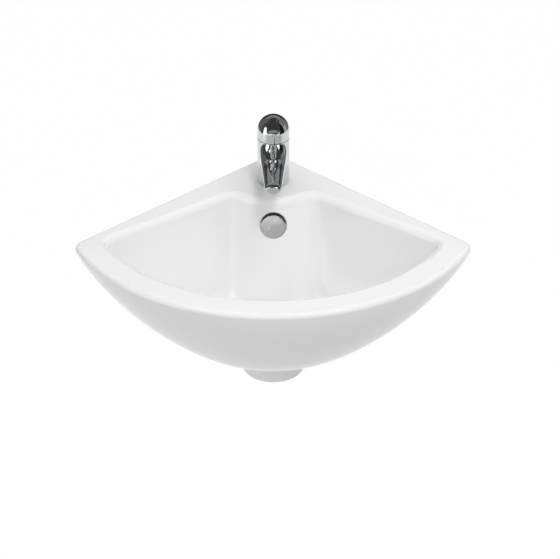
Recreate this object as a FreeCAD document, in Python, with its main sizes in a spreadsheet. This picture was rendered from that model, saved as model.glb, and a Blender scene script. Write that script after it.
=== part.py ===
import FreeCAD, Part
import os
import re
import Sketcher
from math import asin, atan2, cos, degrees, pi, radians, sin, sqrt, tan

# Wall-hung corner hand basin with its single-lever tap, overflow cap and push waste.
# Millimetres. Origin: the line where the two walls meet, level with the deck.
# +X runs to the right, +Y into the corner, +Z up. The basin projects along -Y.

Vector = FreeCAD.Vector

DIMENSIONS = (
    # Outside of the basin, seen from above
    ("projection", 381.0),          # wall corner to the front of the rim
    ("front_round", 253.0),         # plan radius of the front
    ("tip_round", 14.0),            # rounding where the front meets the walls
    ("deck_edge_round", 5.0),       # rounding of the deck's outer edge
    # Outside of the basin, seen from the side
    ("basin_height", 172.0),        # deck to the foot of the outlet boss
    ("skin_depth", 139.0),          # deck to the underside of the bowl
    ("skin_floor_radius", 40.0),
    ("boss_radius", 37.5),
    ("boss_edge_round", 2.0),
    # Bowl opening
    ("outlet_setback", 228.0),      # wall corner to the outlet's axis
    ("front_rim", 35.6),            # width of the rim at the front
    ("rim_shift", 3.6),             # how far the opening's front arc is centred ahead of the rim's
    ("side_angle", 37.8),           # lean of the bowl's straight sides, degrees from the X axis
    ("side_offset", 56.1),          # wall corner to the line of each straight side
    ("panel_setback", 127.0),       # wall corner to the foremost point of the back panel
    ("panel_round", 66.0),          # plan radius of the back panel
    ("valley_round", 15.0),         # between the back panel and the sides
    ("bowl_corner_round", 14.0),    # between the sides and the front
    ("bowl_edge_round", 8.0),
    # Bowl depth and floor
    ("bowl_depth", 121.8),
    ("floor_reach", 42.0),          # outlet's axis to the back of the flat floor
    ("floor_side_reach", 62.0),
    ("floor_front_reach", 50.0),
    ("floor_back_round", 160.0),
    ("floor_front_round", 96.0),
    ("floor_valley_round", 34.0),
    ("floor_corner_round", 36.0),
    # Walls of the casting
    ("bowl_wall", 10.0),
    ("wall_plate", 12.0),
    ("deck_thickness", 14.0),
    ("hollow_reach", 185.0),        # wall corner to the front of the hollow under the deck
    ("hollow_side", 18.0),          # straight run of the hollow beside its front corners
    ("hollow_corner_round", 8.0),
    # Overflow
    ("overflow_depth", 31.0),       # deck to the overflow's axis on the panel
    ("overflow_recess_radius", 16.6),
    ("overflow_recess_depth", 4.5),
    ("overflow_hole_radius", 12.0),
    ("channel_wall", 9.0),
    ("channel_gap", 10.0),
    ("channel_half_width", 10.0),
    ("rib_wall", 7.0),
    ("rib_half_width", 22.0),
    ("cap_clearance", 0.3),
    ("cap_inset", 1.2),             # panel's crown to the face of the cap
    ("cap_wall", 0.8),
    ("cap_slot", 3.2),              # widest part of the crescent slot
    ("cap_tail_radius", 10.2),
    ("cap_tail_length", 6.0),
    ("cap_water_way", 12.0),        # width of the notch in the tail
    ("grommet_flange", 0.8),        # rubber lying on the floor of the recess
    # Fixing holes in the wall plates
    ("wall_hole_radius", 6.0),
    ("wall_hole_run", 150.0),       # wall corner to the hole, along each wall
    ("wall_hole_depth", 50.0),
    # Outlet
    ("flange_recess_radius", 33.0),
    ("flange_recess", 3.0),
    ("outlet_radius", 23.0),
    ("boss_recess_radius", 31.5),
    ("boss_recess", 26.0),
    # Waste fitting
    ("flange_radius", 31.5),
    ("flange_thickness", 2.5),
    ("flange_seal_thickness", 1.0),
    ("waste_thread_radius", 20.95),
    ("waste_wall", 2.45),
    ("waste_mouth", 2.0),
    ("waste_mouth_depth", 6.0),
    ("tail_below_boss", 8.0),
    ("thread_relief", 1.5),         # groove between the backnut and the trap's run of thread
    ("thread_relief_depth", 0.5),
    ("waste_slot_height", 8.0),
    ("waste_slot_width", 22.0),
    ("nut_clearance", 0.1),
    ("waste_gasket_thickness", 6.0),
    ("waste_gasket_radius", 29.0),
    ("waste_gasket_taper", 4.0),
    ("slip_washer_thickness", 1.5),
    ("backnut_height", 12.0),
    ("backnut_flats", 50.0),
    # Push plug
    ("plug_radius", 26.0),
    ("plug_thickness", 2.4),
    ("plug_crown", 2.6),
    ("plug_seal_thickness", 3.0),
    ("plug_seal_width", 4.5),
    ("plug_travel", 7.0),
    ("seal_gap", 0.3),
    ("spindle_radius", 4.0),
    ("running_clearance", 0.06),
    ("guide_wall", 1.5),
    ("guide_length", 30.0),
    ("guide_top_depth", 5.0),       # waste's rim to the top of the guide
    ("guide_collar", 2.0),
    ("spindle_length", 23.0),
    ("hub_wall", 2.6),
    ("hub_drop", 1.0),              # overflow slots down to the top of the arms
    ("arm_width", 3.0),
    ("arm_height", 4.0),
    ("spring_wall", 1.0),
    # Tap body
    ("tap_setback", 78.0),          # wall corner to the tap's axis
    ("tap_radius", 19.5),
    ("tap_shoulder", 59.5),         # deck to the split between body and handle
    ("tap_hole_radius", 17.5),
    ("spigot_radius", 16.3),
    ("spigot_length", 8.0),
    ("base_gasket_thickness", 1.5),
    ("base_gasket_radius", 18.2),
    ("chamber_floor", 24.0),
    ("chamber_radius", 12.6),
    ("nut_bore_radius", 15.0),
    ("nut_bore_depth", 9.5),
    ("inlet_radius", 4.5),
    ("inlet_spread", 6.2),
    ("inlet_setback", 1.5),
    ("inlet_depth", 15.0),
    ("port_radius", 2.6),
    # Spout
    ("spout_reach", 93.0),          # tap's axis to the tip
    ("spout_root_width", 33.0),
    ("spout_tip_width", 19.5),
    ("spout_root_top", 48.0),       # where the top line would meet the body without its sweep
    ("spout_root_bottom", 22.0),
    ("spout_sweep", 10.4),          # how far the top line sweeps up the body
    ("spout_sweep_run", 21.0),
    ("spout_tip_top", 42.5),
    ("spout_tip_bottom", 31.5),
    ("passage_radius", 3.2),
    ("aerator_reach", 82.0),        # tap's axis to the aerator's axis
    ("aerator_radius", 8.0),
    ("aerator_depth", 6.5),
    ("aerator_wall", 1.1),
    ("aerator_lip", 1.2),
    ("thread_clearance", 0.05),
    ("aerator_washer_thickness", 1.0),
    ("aerator_washer_lip", 1.5),
    ("aerator_insert_inset", 0.7),  # housing's foot up to the insert
    # Tap fixing under the deck
    ("stud_radius", 3.0),
    ("stud_setback", 12.0),
    ("stud_engagement", 14.0),
    ("stud_below_deck", 48.0),
    ("horseshoe_radius", 23.0),
    ("horseshoe_slot", 23.0),
    ("horseshoe_web", 2.5),         # stud to the end of the slot
    ("fixing_gasket_thickness", 3.0),
    ("fixing_plate_thickness", 2.0),
    ("stud_nut_height", 10.0),
    ("stud_nut_flats", 10.0),
    # Cartridge
    ("cartridge_radius", 12.5),
    ("cartridge_seal_thickness", 1.5),
    ("cartridge_base_thickness", 4.5),
    ("disc_room_radius", 10.5),
    ("cartridge_neck_radius", 10.6),
    ("carrier_radius", 9.0),
    ("carrier_flange_radius", 10.3),
    ("carrier_flange_height", 2.7),
    ("carrier_top", 7.0),           # above the lever's pivot
    ("disc_clearance", 0.1),
    ("fixed_disc_thickness", 2.0),
    ("moving_disc_radius", 7.0),
    ("moving_disc_thickness", 7.5),
    ("hub_radius", 4.5),
    ("hub_lip", 1.5),               # ball's centre up to the top of its socket
    ("socket_clearance", 0.3),
    ("socket_room", 1.0),           # under the ball
    ("ball_radius", 2.5),
    ("shank_radius", 1.75),
    ("ball_arm", 8.0),              # lever's pivot down to the ball
    ("pivot_height", 50.0),         # deck to the lever's pivot
    ("pin_radius", 1.5),
    ("stem_width", 7.0),
    ("paddle_width", 5.0),
    ("paddle_depth", 6.0),
    ("stem_top", 30.0),             # above the lever's pivot
    ("cartridge_nut_height", 6.0),
    # Collar and handle
    ("collar_radius", 19.3),        # spherical, about the lever's pivot
    ("collar_wall", 2.0),
    ("collar_lap", 0.9),            # how far its spigot runs up into its dome
    ("collar_mouth", 10.5),
    ("collar_gap", 0.4),
    ("handle_gap", 0.8),
    ("lift_angle", 20.0),
    ("dome_centre", 70.0),
    ("dome_wall", 2.8),
    ("socket_boss_radius", 7.5),
    ("lever_reach", 46.0),
    ("lever_width", 16.0),
    ("lever_top", 88.3),
    ("lever_thickness", 6.2),
    ("screw_radius", 2.5),
    ("screw_length", 6.5),
    ("screw_height", 25.5),         # above the lever's pivot
    ("handle_plug_radius", 3.2),
    ("handle_plug_length", 3.5),
    ("handle_plug_sink", 0.5),      # how far its inner end stands inside the dome
)

# Fullness of the curves that carry each measure from the rim (0) down to the floor (1).
SKIN_RADIUS_CURVE = (1.39, 1.76)
SKIN_CENTRE_CURVE = (1.53, 1.54)
BOWL_BACK_CURVE = (1.3, 1.35)
BOWL_FRONT_CURVE = (1.6, 1.7)
BOWL_SIDE_CURVE = (1.5, 1.6)
SKIN_SECTIONS = 10
SKIN_POINTS = 16
BOWL_SECTIONS = 8
LOFT_COUNTS = (4, 5, 4, 5, 6)       # points on half a section: panel, valley, side, corner, front
FINE_COUNTS = (12, 16, 8, 16, 24)
FLOOR_HEADING = pi / 2 * 0.96       # how nearly level the bowl has turned where its flat floor begins
EDGE_SECTIONS = 6
EDGE_HEADING = radians(84)          # how far the rounded edge of the opening turns
BOSS_EDGE_STEPS = 4
SECTION_FULLNESS = 2.7              # superellipse power of the spout's and lever's sections
SECTION_POINTS = 16
TOUCH = 0.01                        # how close two things are that touch

# The spout's sections: share of the way from the body to the tip.
SPOUT_SHARES = (0.0, 0.08, 0.17, 0.28, 0.42, 0.58, 0.74, 0.87, 0.96, 1.0)
SPOUT_SWEEP_CURVE = 2.2
SPOUT_WIDTH_CURVE = 0.85
SPOUT_FOOT_CURVE = 0.55
SPOUT_TIP_SHARES = {0.96: (0.96, 0.03), 1.0: (0.74, 0.18)}   # share of the width, share of the height cut off

# The tongue's sections: share of its reach, of its width and of its thickness.
LEVER_SECTIONS = (
    (-0.02, 0.5, 1.0), (0.2, 0.62, 1.0), (0.45, 0.82, 1.0), (0.68, 0.97, 1.0), (0.82, 1.0, 1.0),
    (0.91, 0.87, 0.94), (0.97, 0.58, 0.8), (1.0, 0.2, 0.55))

# The aerator's rings of holes: share of its radius, number of holes.
AERATOR_RINGS = ((0.35, 6), (0.72, 12))
AERATOR_HOLE = 1 / 9                # a hole's radius as a share of the drum's
# The plug's crown: share of its radius, share of its height.
CROWN_STEPS = ((0.75, 0.55), (0.4, 0.9))

doc = FreeCAD.newDocument("CornerBasin")
sheet = doc.addObject("Spreadsheet::Sheet", "Sizes")
for row, (alias, value) in enumerate(DIMENSIONS, start=1):
    sheet.set("A%d" % row, alias)
    sheet.set("B%d" % row, "%g" % value)
    sheet.setAlias("B%d" % row, alias)
doc.recompute()

ALIASES = {alias for alias, value in DIMENSIONS}

# Levels and places that follow from the driving dimensions, as formulas of the sheet.
RECESS_LEVEL = "(-bowl_depth - flange_recess)"
SEAL_TOP = "(%s + flange_seal_thickness)" % RECESS_LEVEL
FLANGE_TOP = "(%s + flange_thickness)" % SEAL_TOP
SEAT_LEVEL = "(boss_recess - basin_height)"
GASKET_FOOT = "(%s - waste_gasket_thickness)" % SEAT_LEVEL
SLIP_FOOT = "(%s - slip_washer_thickness)" % GASKET_FOOT
BACKNUT_FOOT = "(%s - backnut_height)" % SLIP_FOOT
TAIL_END = "(-basin_height - tail_below_boss)"
WASTE_BORE = "(waste_thread_radius - waste_wall)"
CHANNEL_TOP = "(-bowl_depth - channel_wall)"
CHANNEL_FOOT = "(%s - channel_gap)" % CHANNEL_TOP
NUT_BORE_FLOOR = "(tap_shoulder - nut_bore_depth)"
CARTRIDGE_FOOT = "(chamber_floor + cartridge_seal_thickness)"
DISC_LEVEL = "(%s + cartridge_base_thickness)" % CARTRIDGE_FOOT
MOVING_DISC_LEVEL = "(%s + fixed_disc_thickness + disc_clearance)" % DISC_LEVEL
BALL_LEVEL = "(pivot_height - ball_arm)"
HUB_TOP = "(%s + hub_lip)" % BALL_LEVEL
CARRIER_TOP = "(pivot_height + carrier_top)"
CARRIER_FOOT = "(%s + moving_disc_thickness + disc_clearance)" % MOVING_DISC_LEVEL
CARRIER_SHOULDER = "(%s + carrier_flange_height)" % CARRIER_FOOT
AERATOR_TOP = "(spout_tip_bottom + aerator_depth)"
OUTLET_Y = "(-outlet_setback)"
TAP_Y = "(-tap_setback)"
GUIDE_TOP = "(%s - guide_top_depth)" % FLANGE_TOP
GUIDE_FOOT = "(%s - guide_length)" % GUIDE_TOP
GUIDE_BORE = "(spindle_radius + running_clearance)"
GUIDE_RADIUS = "(%s + guide_wall)" % GUIDE_BORE
HUB_TOP_LEVEL = "(%s - guide_collar)" % GUIDE_TOP
PLUG_SEAT = "(%s + plug_travel + seal_gap)" % FLANGE_TOP
PLUG_FOOT = "(%s + plug_seal_thickness)" % PLUG_SEAT
SPINDLE_FOOT = "(%s - spindle_length)" % PLUG_FOOT


def size(formula):
    """The number that a formula of the sheet's aliases gives."""
    return float(sheet.evalExpression(formula))


def bound(formula):
    """The same formula, as another object has to write it."""
    return re.sub(r"[a-z_]+", lambda m: "Sizes." + m.group() if m.group() in ALIASES else m.group(), formula)


def place(item, label, y="0", z="0"):
    """Name a piece and set it at a place that follows the sheet."""
    item.Label = label
    item.setExpression("Placement.Base.y", bound(y))
    item.setExpression("Placement.Base.z", bound(z))
    return item


def feature(label, shape, placement=None):
    """A piece whose shape is made with Part's functions."""
    item = doc.addObject("Part::Feature", label)
    item.Label = label
    item.Shape = shape
    if placement:
        item.Placement = placement
    return item


# Sketches and bodies

def sketch_on(body, role):
    """A sketch on one of the body's own origin planes."""
    plane = [item for item in body.Origin.OriginFeatures if item.Role == role][0]
    sketch = body.newObject("Sketcher::SketchObject", "Sketch")
    sketch.AttachmentSupport = (plane, [""])
    sketch.MapMode = "FlatFace"
    return sketch


def constrain(sketch, kind, places, formula):
    index = sketch.addConstraint(Sketcher.Constraint(kind, *places, size(formula)))
    sketch.setExpression("Constraints[%d]" % index, bound(formula))


def outline(sketch, points):
    """A closed outline of straight lines through points given as pairs of formulas."""
    spots = [Vector(size(across), size(up), 0) for across, up in points]
    count = len(spots)
    for i in range(count):
        sketch.addGeometry(Part.LineSegment(spots[i], spots[(i + 1) % count]), False)
    for i in range(count):
        sketch.addConstraint(Sketcher.Constraint("Coincident", i, 2, (i + 1) % count, 1))
    for i, (across, up) in enumerate(points):
        constrain(sketch, "DistanceX", (-1, 1, i, 1), across)
        constrain(sketch, "DistanceY", (-1, 1, i, 1), up)


def lathe(label, points, y):
    """A body turned about its own Z axis from (radius, level) formulas."""
    body = doc.addObject("PartDesign::Body", label)
    sketch = sketch_on(body, "XZ_Plane")
    outline(sketch, points)
    turn = body.newObject("PartDesign::Revolution", "Turn")
    turn.Profile = sketch
    turn.ReferenceAxis = (sketch, ["V_Axis"])
    turn.Angle = 360
    return place(body, label, y)


def ring(label, inner, outer, foot, top, y):
    return lathe(label, ((inner, foot), (outer, foot), (outer, top), (inner, top)), y)


def hexagon(sketch, flats):
    """A regular hexagon whose size across the flats is a formula."""
    corner = size("%s / sqrt(3)" % flats)
    spots = [Vector(corner * cos(k * pi / 3), corner * sin(k * pi / 3), 0) for k in range(6)]
    for k in range(6):
        sketch.addGeometry(Part.LineSegment(spots[k], spots[(k + 1) % 6]), False)
    for k in range(6):
        sketch.addConstraint(Sketcher.Constraint("Coincident", k, 2, (k + 1) % 6, 1))
    for k in range(1, 6):
        sketch.addConstraint(Sketcher.Constraint("Equal", 0, k))
    circle = sketch.addGeometry(Part.Circle(Vector(0, 0, 0), Vector(0, 0, 1), corner), True)
    sketch.addConstraint(Sketcher.Constraint("Coincident", circle, 3, -1, 1))
    for k in range(6):
        sketch.addConstraint(Sketcher.Constraint("PointOnObject", k, 1, circle))
    sketch.addConstraint(Sketcher.Constraint("PointOnObject", 0, 1, -1))
    constrain(sketch, "Radius", (circle,), "%s / sqrt(3)" % flats)


def hex_nut(label, flats, bore, height, y, foot):
    """A hexagon nut standing on a level, with its hole cut right through."""
    body = doc.addObject("PartDesign::Body", label)
    sketch = sketch_on(body, "XY_Plane")
    hexagon(sketch, flats)
    pad = body.newObject("PartDesign::Pad", "Pad")
    pad.Profile = sketch
    pad.setExpression("Length", bound(height))
    holes(body, (("0", "0", bore),))
    return place(body, label, y, foot)


def holes(body, circles):
    """Round holes along Z, right through the body, from (x, y, radius) formulas."""
    sketch = sketch_on(body, "XY_Plane")
    for across, along, radius in circles:
        centre = Vector(size(across), size(along), 0)
        index = sketch.addGeometry(Part.Circle(centre, Vector(0, 0, 1), size(radius)), False)
        constrain(sketch, "DistanceX", (-1, 1, index, 3), across)
        constrain(sketch, "DistanceY", (-1, 1, index, 3), along)
        constrain(sketch, "Radius", (index,), radius)
    pocket = body.newObject("PartDesign::Pocket", "Holes")
    pocket.Profile = sketch
    pocket.Type = "ThroughAll"
    pocket.Midplane = True
    return body


# Shapes made with Part's functions

def turned(points):
    """A solid turned about Z from (radius, level) numbers."""
    wire = Part.makePolygon([Vector(radius, 0, level) for radius, level in points + points[:1]])
    return Part.Face(wire).revolve(Vector(0, 0, 0), Vector(0, 0, 1), 360)


def box(x, y, z):
    """A box between two limits on each axis."""
    return Part.makeBox(x[1] - x[0], y[1] - y[0], z[1] - z[0], Vector(x[0], y[0], z[0]))


def rod(radius, start, end):
    """A round rod from one point to another."""
    return Part.makeCylinder(radius, (end - start).Length, start, end - start)


def chord_shares(points):
    """Share of a closed run of points that is covered at each point, from 0 to 1."""
    runs = [0.0]
    for i in range(len(points)):
        runs.append(runs[-1] + (points[(i + 1) % len(points)] - points[i]).Length)
    return [run / runs[-1] for run in runs]


def points_at(shares, points):
    """Points at given shares of the way round a closed run of points."""
    runs = chord_shares(points)
    spots = []
    index = 0
    for share in shares[:-1]:
        while runs[index + 1] < share:
            index += 1
        start, end = points[index], points[(index + 1) % len(points)]
        spots.append(start + (end - start) * ((share - runs[index]) / (runs[index + 1] - runs[index])))
    return spots


def closed_wire(points, shares):
    """A smooth closed wire through points. All sections of one loft share their parameters."""
    curve = Part.BSplineCurve()
    curve.interpolate(Points=points, PeriodicFlag=True, Parameters=shares)
    return Part.Wire([curve.toShape()])


def round_points(radius, count):
    """Points all round a circle about the Z axis."""
    return arc_points(Vector(0, 0, 0), radius, 0, 2 * pi, count)


def fall(share, curve):
    """How much of a measure's rim value is left at a share of the way down."""
    return max(0.0, 1 - share ** curve[0]) ** (1 / curve[1])


def blend(floor, rim, share):
    return floor + (rim - floor) * share


# Basin

def skin():
    """The basin's outer skin as round sections, before the walls cut it."""
    centre = size("outlet_setback - (projection - front_round)")
    shares = chord_shares(round_points(1, SKIN_POINTS))
    wires = []
    for i in range(SKIN_SECTIONS):
        down = sin(pi / 2 * i / (SKIN_SECTIONS - 1))
        radius = blend(size("skin_floor_radius"), size("front_round"), fall(down, SKIN_RADIUS_CURVE))
        y = centre * fall(down, SKIN_CENTRE_CURVE) - size("outlet_setback")
        middle = Vector(0, y, -size("skin_depth") * down)
        wires.append(closed_wire([middle + point for point in round_points(radius, SKIN_POINTS)], shares))
    return Part.makeLoft(wires, True, False)


def tangent_centre(normal, distance, y, radius, rounding):
    """Centre of the arc that touches a side line and a circle centred on the Y axis."""
    away = distance - rounding
    across = away - normal.y * y
    along = sqrt(radius ** 2 - across ** 2)
    first = Vector(normal.x * across - normal.y * along, y + normal.y * across + normal.x * along, 0)
    second = Vector(normal.x * across + normal.y * along, y + normal.y * across - normal.x * along, 0)
    return max(first, second, key=lambda point: point.x)


def arc_points(centre, radius, start, end, count):
    """Points along an arc, without its end, from start angle to end angle."""
    return [centre + Vector(radius * cos(a), radius * sin(a), 0)
            for a in (start + (end - start) * i / count for i in range(count))]


def heading(start, end):
    return atan2(end.y - start.y, end.x - start.x)


def bowl_outline(back, back_round, side, valley, corner, front, front_round, level, counts):
    """Points of one closed section of the bowl: back panel, valleys, sides and front."""
    lean = radians(size("side_angle"))
    normal = Vector(sin(lean), cos(lean), 0)
    back_centre = Vector(0, back + back_round, 0)
    front_centre = Vector(0, front_round - front, 0)
    valley_centre = tangent_centre(normal, side, back_centre.y, back_round + valley, valley)
    corner_centre = tangent_centre(normal, side, front_centre.y, front_round - corner, corner)
    valley_start = heading(valley_centre, back_centre)
    side_turn = heading(Vector(0, 0, 0), normal)
    panel, bend, side_run, turn_run, front_run = counts
    points = arc_points(back_centre, back_round, -pi / 2, heading(back_centre, valley_centre), panel)
    points += arc_points(valley_centre, valley, valley_start, side_turn, bend)
    side_start = valley_centre + normal * valley
    side_end = corner_centre + normal * corner
    points += [side_start + (side_end - side_start) * (i / side_run) for i in range(side_run)]
    front_turn = heading(front_centre, corner_centre)
    points += arc_points(corner_centre, corner, side_turn, front_turn, turn_run)
    points += arc_points(front_centre, front_round, front_turn, -pi / 2, front_run)
    points.append(Vector(0, -front, 0))
    mirrored = [Vector(-point.x, point.y, 0) for point in points[-2:0:-1]]
    shift = Vector(0, -size("outlet_setback"), level)
    return [point + shift for point in points + mirrored]


def panel_reach(down):
    """Outlet's axis to the back panel on the centre line, at a share of the way down."""
    rim = size("outlet_setback - panel_setback")
    return blend(size("floor_reach"), rim, fall(down, BOWL_BACK_CURVE))


def bowl_section(level, depth, growth, counts=FINE_COUNTS):
    """The bowl's outline at a level, for a bowl of that depth, grown outwards all round."""
    down = -level / depth * sin(FLOOR_HEADING)
    lean = radians(size("side_angle"))
    side_rim = size("outlet_setback") * cos(lean) - size("side_offset")
    back = fall(down, BOWL_BACK_CURVE)
    front = fall(down, BOWL_FRONT_CURVE)
    sides = fall(down, BOWL_SIDE_CURVE)
    return bowl_outline(
        panel_reach(down) + growth,
        blend(size("floor_back_round"), size("panel_round"), back) - growth,
        blend(size("floor_side_reach"), side_rim, sides) + growth,
        blend(size("floor_valley_round"), size("valley_round"), back) + growth,
        blend(size("floor_corner_round"), size("bowl_corner_round"), front) + growth,
        blend(size("floor_front_reach"), size("projection - front_rim - outlet_setback"), front) + growth,
        blend(size("floor_front_round"), size("front_round - front_rim - rim_shift"), front) + growth,
        level, counts)


def bowl_loft(sections):
    """A solid through sections of the bowl, with the rim's spacing of points in each."""
    shares = chord_shares(bowl_section(0, size("bowl_depth"), 0, LOFT_COUNTS))
    return Part.makeLoft([closed_wire(points_at(shares, points), shares) for points in sections], True, False)


def bowl_space(growth=0.0, top=0.0):
    """The bowl's hollow below a level, or the same solid grown by a wall's thickness."""
    depth = size("bowl_depth") + growth
    start = asin(-top / depth * sin(FLOOR_HEADING))
    sections = []
    for i in range(BOWL_SECTIONS):
        turn = start + (FLOOR_HEADING - start) * i / (BOWL_SECTIONS - 1)
        sections.append(bowl_section(-depth * sin(turn) / sin(FLOOR_HEADING), depth, growth))
    return bowl_loft(sections)


def bowl_and_edge():
    """The bowl's hollow with the rounded edge of its opening."""
    edge = size("bowl_edge_round")
    depth = size("bowl_depth")
    sections = []
    for i in range(EDGE_SECTIONS):
        turn = EDGE_HEADING * i / (EDGE_SECTIONS - 1)
        level = edge * sin(turn) / sin(EDGE_HEADING) - edge
        sections.append(bowl_section(level, depth, edge * (1 - cos(turn))))
    return bowl_space(0.0, -edge).fuse(bowl_loft(sections))


def wall_point(side, run, depth, inward=0.0):
    """A point on the left (-1) or right (1) wall, or that far in front of it."""
    share = sqrt(0.5)
    return Vector(side * (run - inward) * share, -(run + inward) * share, -depth)


def overflow_frame():
    """Placement whose origin lies on the back panel and whose Z axis leaves it squarely."""
    last = sin(FLOOR_HEADING)
    down = size("overflow_depth / bowl_depth") * last
    step = 0.01
    slope = (panel_reach(down + step) - panel_reach(down - step)) * last / (2 * step * size("bowl_depth"))
    origin = Vector(0, panel_reach(down) - size("outlet_setback"), -size("overflow_depth"))
    return FreeCAD.Placement(origin, FreeCAD.Rotation(Vector(1, 0, 0), 90 - degrees(atan2(-slope, 1))))


def on_overflow(shape):
    """A shape made about the origin, moved to the overflow."""
    moved = shape.copy()
    moved.Placement = overflow_frame().multiply(moved.Placement)
    return moved


def touches_deck(edge):
    return edge.BoundBox.ZMax > -TOUCH


def lies_on_deck(edge):
    return edge.BoundBox.ZMin > -TOUCH


def outside(bowl):
    """The basin's solid outside with its bowl, all edges rounded."""
    reach = size("projection + front_round")
    deck = [Vector(0, 0, 0), Vector(reach, -reach, 0), Vector(-reach, -reach, 0), Vector(0, 0, 0)]
    corner = Part.Face(Part.makePolygon(deck)).extrude(Vector(0, 0, -size("basin_height")))
    solid = skin().common(corner)
    upright = [edge for edge in solid.Edges if touches_deck(edge) and not lies_on_deck(edge)]
    tips = [edge for edge in upright if abs(edge.BoundBox.Center.x) > size("tip_round")]
    solid = solid.makeFillet(size("tip_round"), tips)
    rim = [edge for edge in solid.Edges if lies_on_deck(edge)]
    return solid.makeFillet(size("deck_edge_round"), rim).cut(bowl)


def deck_hollow():
    """The room under the deck, inside the wall plates and open below."""
    plate = size("wall_plate") * sqrt(2)
    front = -size("hollow_reach")
    half = size("hollow_reach - hollow_side") - plate
    plan = [Vector(0, -plate, 0), Vector(half, -half - plate, 0), Vector(half, front, 0),
            Vector(-half, front, 0), Vector(-half, -half - plate, 0), Vector(0, -plate, 0)]
    face = Part.Face(Part.makePolygon(plan))
    face.translate(Vector(0, 0, -size("deck_thickness")))
    room = face.extrude(Vector(0, 0, -size("basin_height")))
    upright = [edge for edge in room.Edges if abs(edge.tangentAt(edge.FirstParameter).z) > 0.9]
    return room.makeFillet(size("hollow_corner_round"), upright)


def outlet_boss():
    """The round boss under the bowl that takes the waste."""
    radius = size("boss_radius")
    edge = size("boss_edge_round")
    foot = -size("basin_height")
    bend = arc_points(Vector(radius - edge, foot + edge, 0), edge, -pi / 2, 0, BOSS_EDGE_STEPS)
    profile = [(0, foot)] + [(point.x, point.y) for point in bend]
    top = -size("bowl_depth + bowl_wall")
    boss = turned(profile + [(radius, foot + edge), (radius, top), (0, top)])
    boss.translate(Vector(0, -size("outlet_setback"), 0))
    return boss


def overflow_channel():
    """Solid rib down the back of the panel and the water's way inside it."""
    back = -size("deck_thickness")
    foot = -size("basin_height")
    outlet = -size("outlet_setback")
    depth = size("channel_wall + channel_gap")
    half = size("rib_half_width")
    rib = bowl_space(depth + size("rib_wall")).common(box((-half, half), (outlet, 0), (foot, back)))
    half = size("channel_half_width")
    water = bowl_space(depth).cut(bowl_space(size("channel_wall")))
    water = water.common(box((-half, half), (outlet, 0), (foot, back - size("deck_edge_round"))))
    return rib, water


def basin_cuts(water):
    """Everything that is bored out of the casting, as one tool."""
    outlet = Vector(0, -size("outlet_setback"), 0)
    tap = Vector(0, -size("tap_setback"), 0)
    up = Vector(0, 0, 1)
    seat = -size("overflow_recess_depth")
    recess_depth = size("bowl_edge_round") - seat
    recess = Part.makeCylinder(size("overflow_recess_radius"), recess_depth, Vector(0, 0, seat))
    throat_depth = size("channel_wall + channel_gap / 2")
    throat = Part.makeCylinder(size("overflow_hole_radius"), throat_depth, Vector(0, 0, -throat_depth))
    run = size("wall_hole_run")
    depth = size("wall_hole_depth")
    below = outlet - up * size("basin_height + 1")
    tools = [
        rod(size("flange_recess_radius"), outlet + up * size(RECESS_LEVEL), outlet),
        rod(size("boss_recess_radius"), below, outlet + up * size(SEAT_LEVEL)),
        rod(size("tap_hole_radius"), tap - up * size("deck_thickness + 1"), tap + up),
        on_overflow(recess),
        on_overflow(throat),
        water]
    for side in (-1, 1):
        end = wall_point(side, run, depth, size("wall_plate + 1"))
        tools.append(rod(size("wall_hole_radius"), wall_point(side, run, depth, -1), end))
    return rod(size("outlet_radius"), outlet - up * size("basin_height"), outlet).fuse(tools)


def basin_body():
    bowl = bowl_and_edge()
    rib, water = overflow_channel()
    room = deck_hollow().cut(bowl_space(size("bowl_wall"))).cut(rib)
    solid = outside(bowl).cut(room).fuse(outlet_boss().fuse(rib).cut(bowl)).cut(basin_cuts(water))
    return feature("basin_body", solid.Solids[0])


# Overflow

def overflow_cap():
    """Round cap with a crescent slot at its top and a tail that grips the hole."""
    radius = size("overflow_recess_radius - cap_clearance")
    wall = size("cap_wall")
    seat = -size("overflow_recess_depth")
    face = -size("cap_inset")
    cup = Part.makeCylinder(radius, face - seat, Vector(0, 0, seat))
    inside = Part.makeCylinder(radius - wall, face - wall - seat, Vector(0, 0, seat))
    slot = Part.makeCylinder(radius - wall / 2, 2 * wall, Vector(0, 0, face - 1.5 * wall))
    slot = slot.cut(Part.makeCylinder(radius, 4 * wall, Vector(0, -size("cap_slot"), face - 2.5 * wall)))
    tail_foot = seat - size("cap_tail_length")
    tail_radius = size("cap_tail_radius")
    tail = Part.makeCylinder(tail_radius, face - wall - tail_foot, Vector(0, 0, tail_foot))
    tail = tail.cut(Part.makeCylinder(tail_radius - wall, face - wall - tail_foot, Vector(0, 0, tail_foot)))
    way = size("cap_water_way / 2")
    tail = tail.cut(box((-way, way), (0, radius), (seat, face - wall)))
    cap = cup.cut(inside).cut(slot).fuse(tail).removeSplitter()
    return feature("overflow_cap", cap, overflow_frame())


def overflow_grommet():
    """Flanged rubber ring between the cap's tail and the hole in the panel."""
    seat = -size("overflow_recess_depth")
    length = size("channel_wall") + seat
    gap = size("thread_clearance")
    grip = Part.makeCylinder(size("overflow_hole_radius") - gap, length, Vector(0, 0, seat - length))
    flange_radius = size("overflow_recess_radius - cap_clearance - cap_wall") - gap
    flange = Part.makeCylinder(flange_radius, size("grommet_flange"), Vector(0, 0, seat))
    hole = Part.makeCylinder(size("cap_tail_radius") + gap, 2 * length, Vector(0, 0, seat - length))
    return feature("overflow_grommet", grip.fuse(flange).cut(hole).removeSplitter(), overflow_frame())


# Waste

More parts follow.
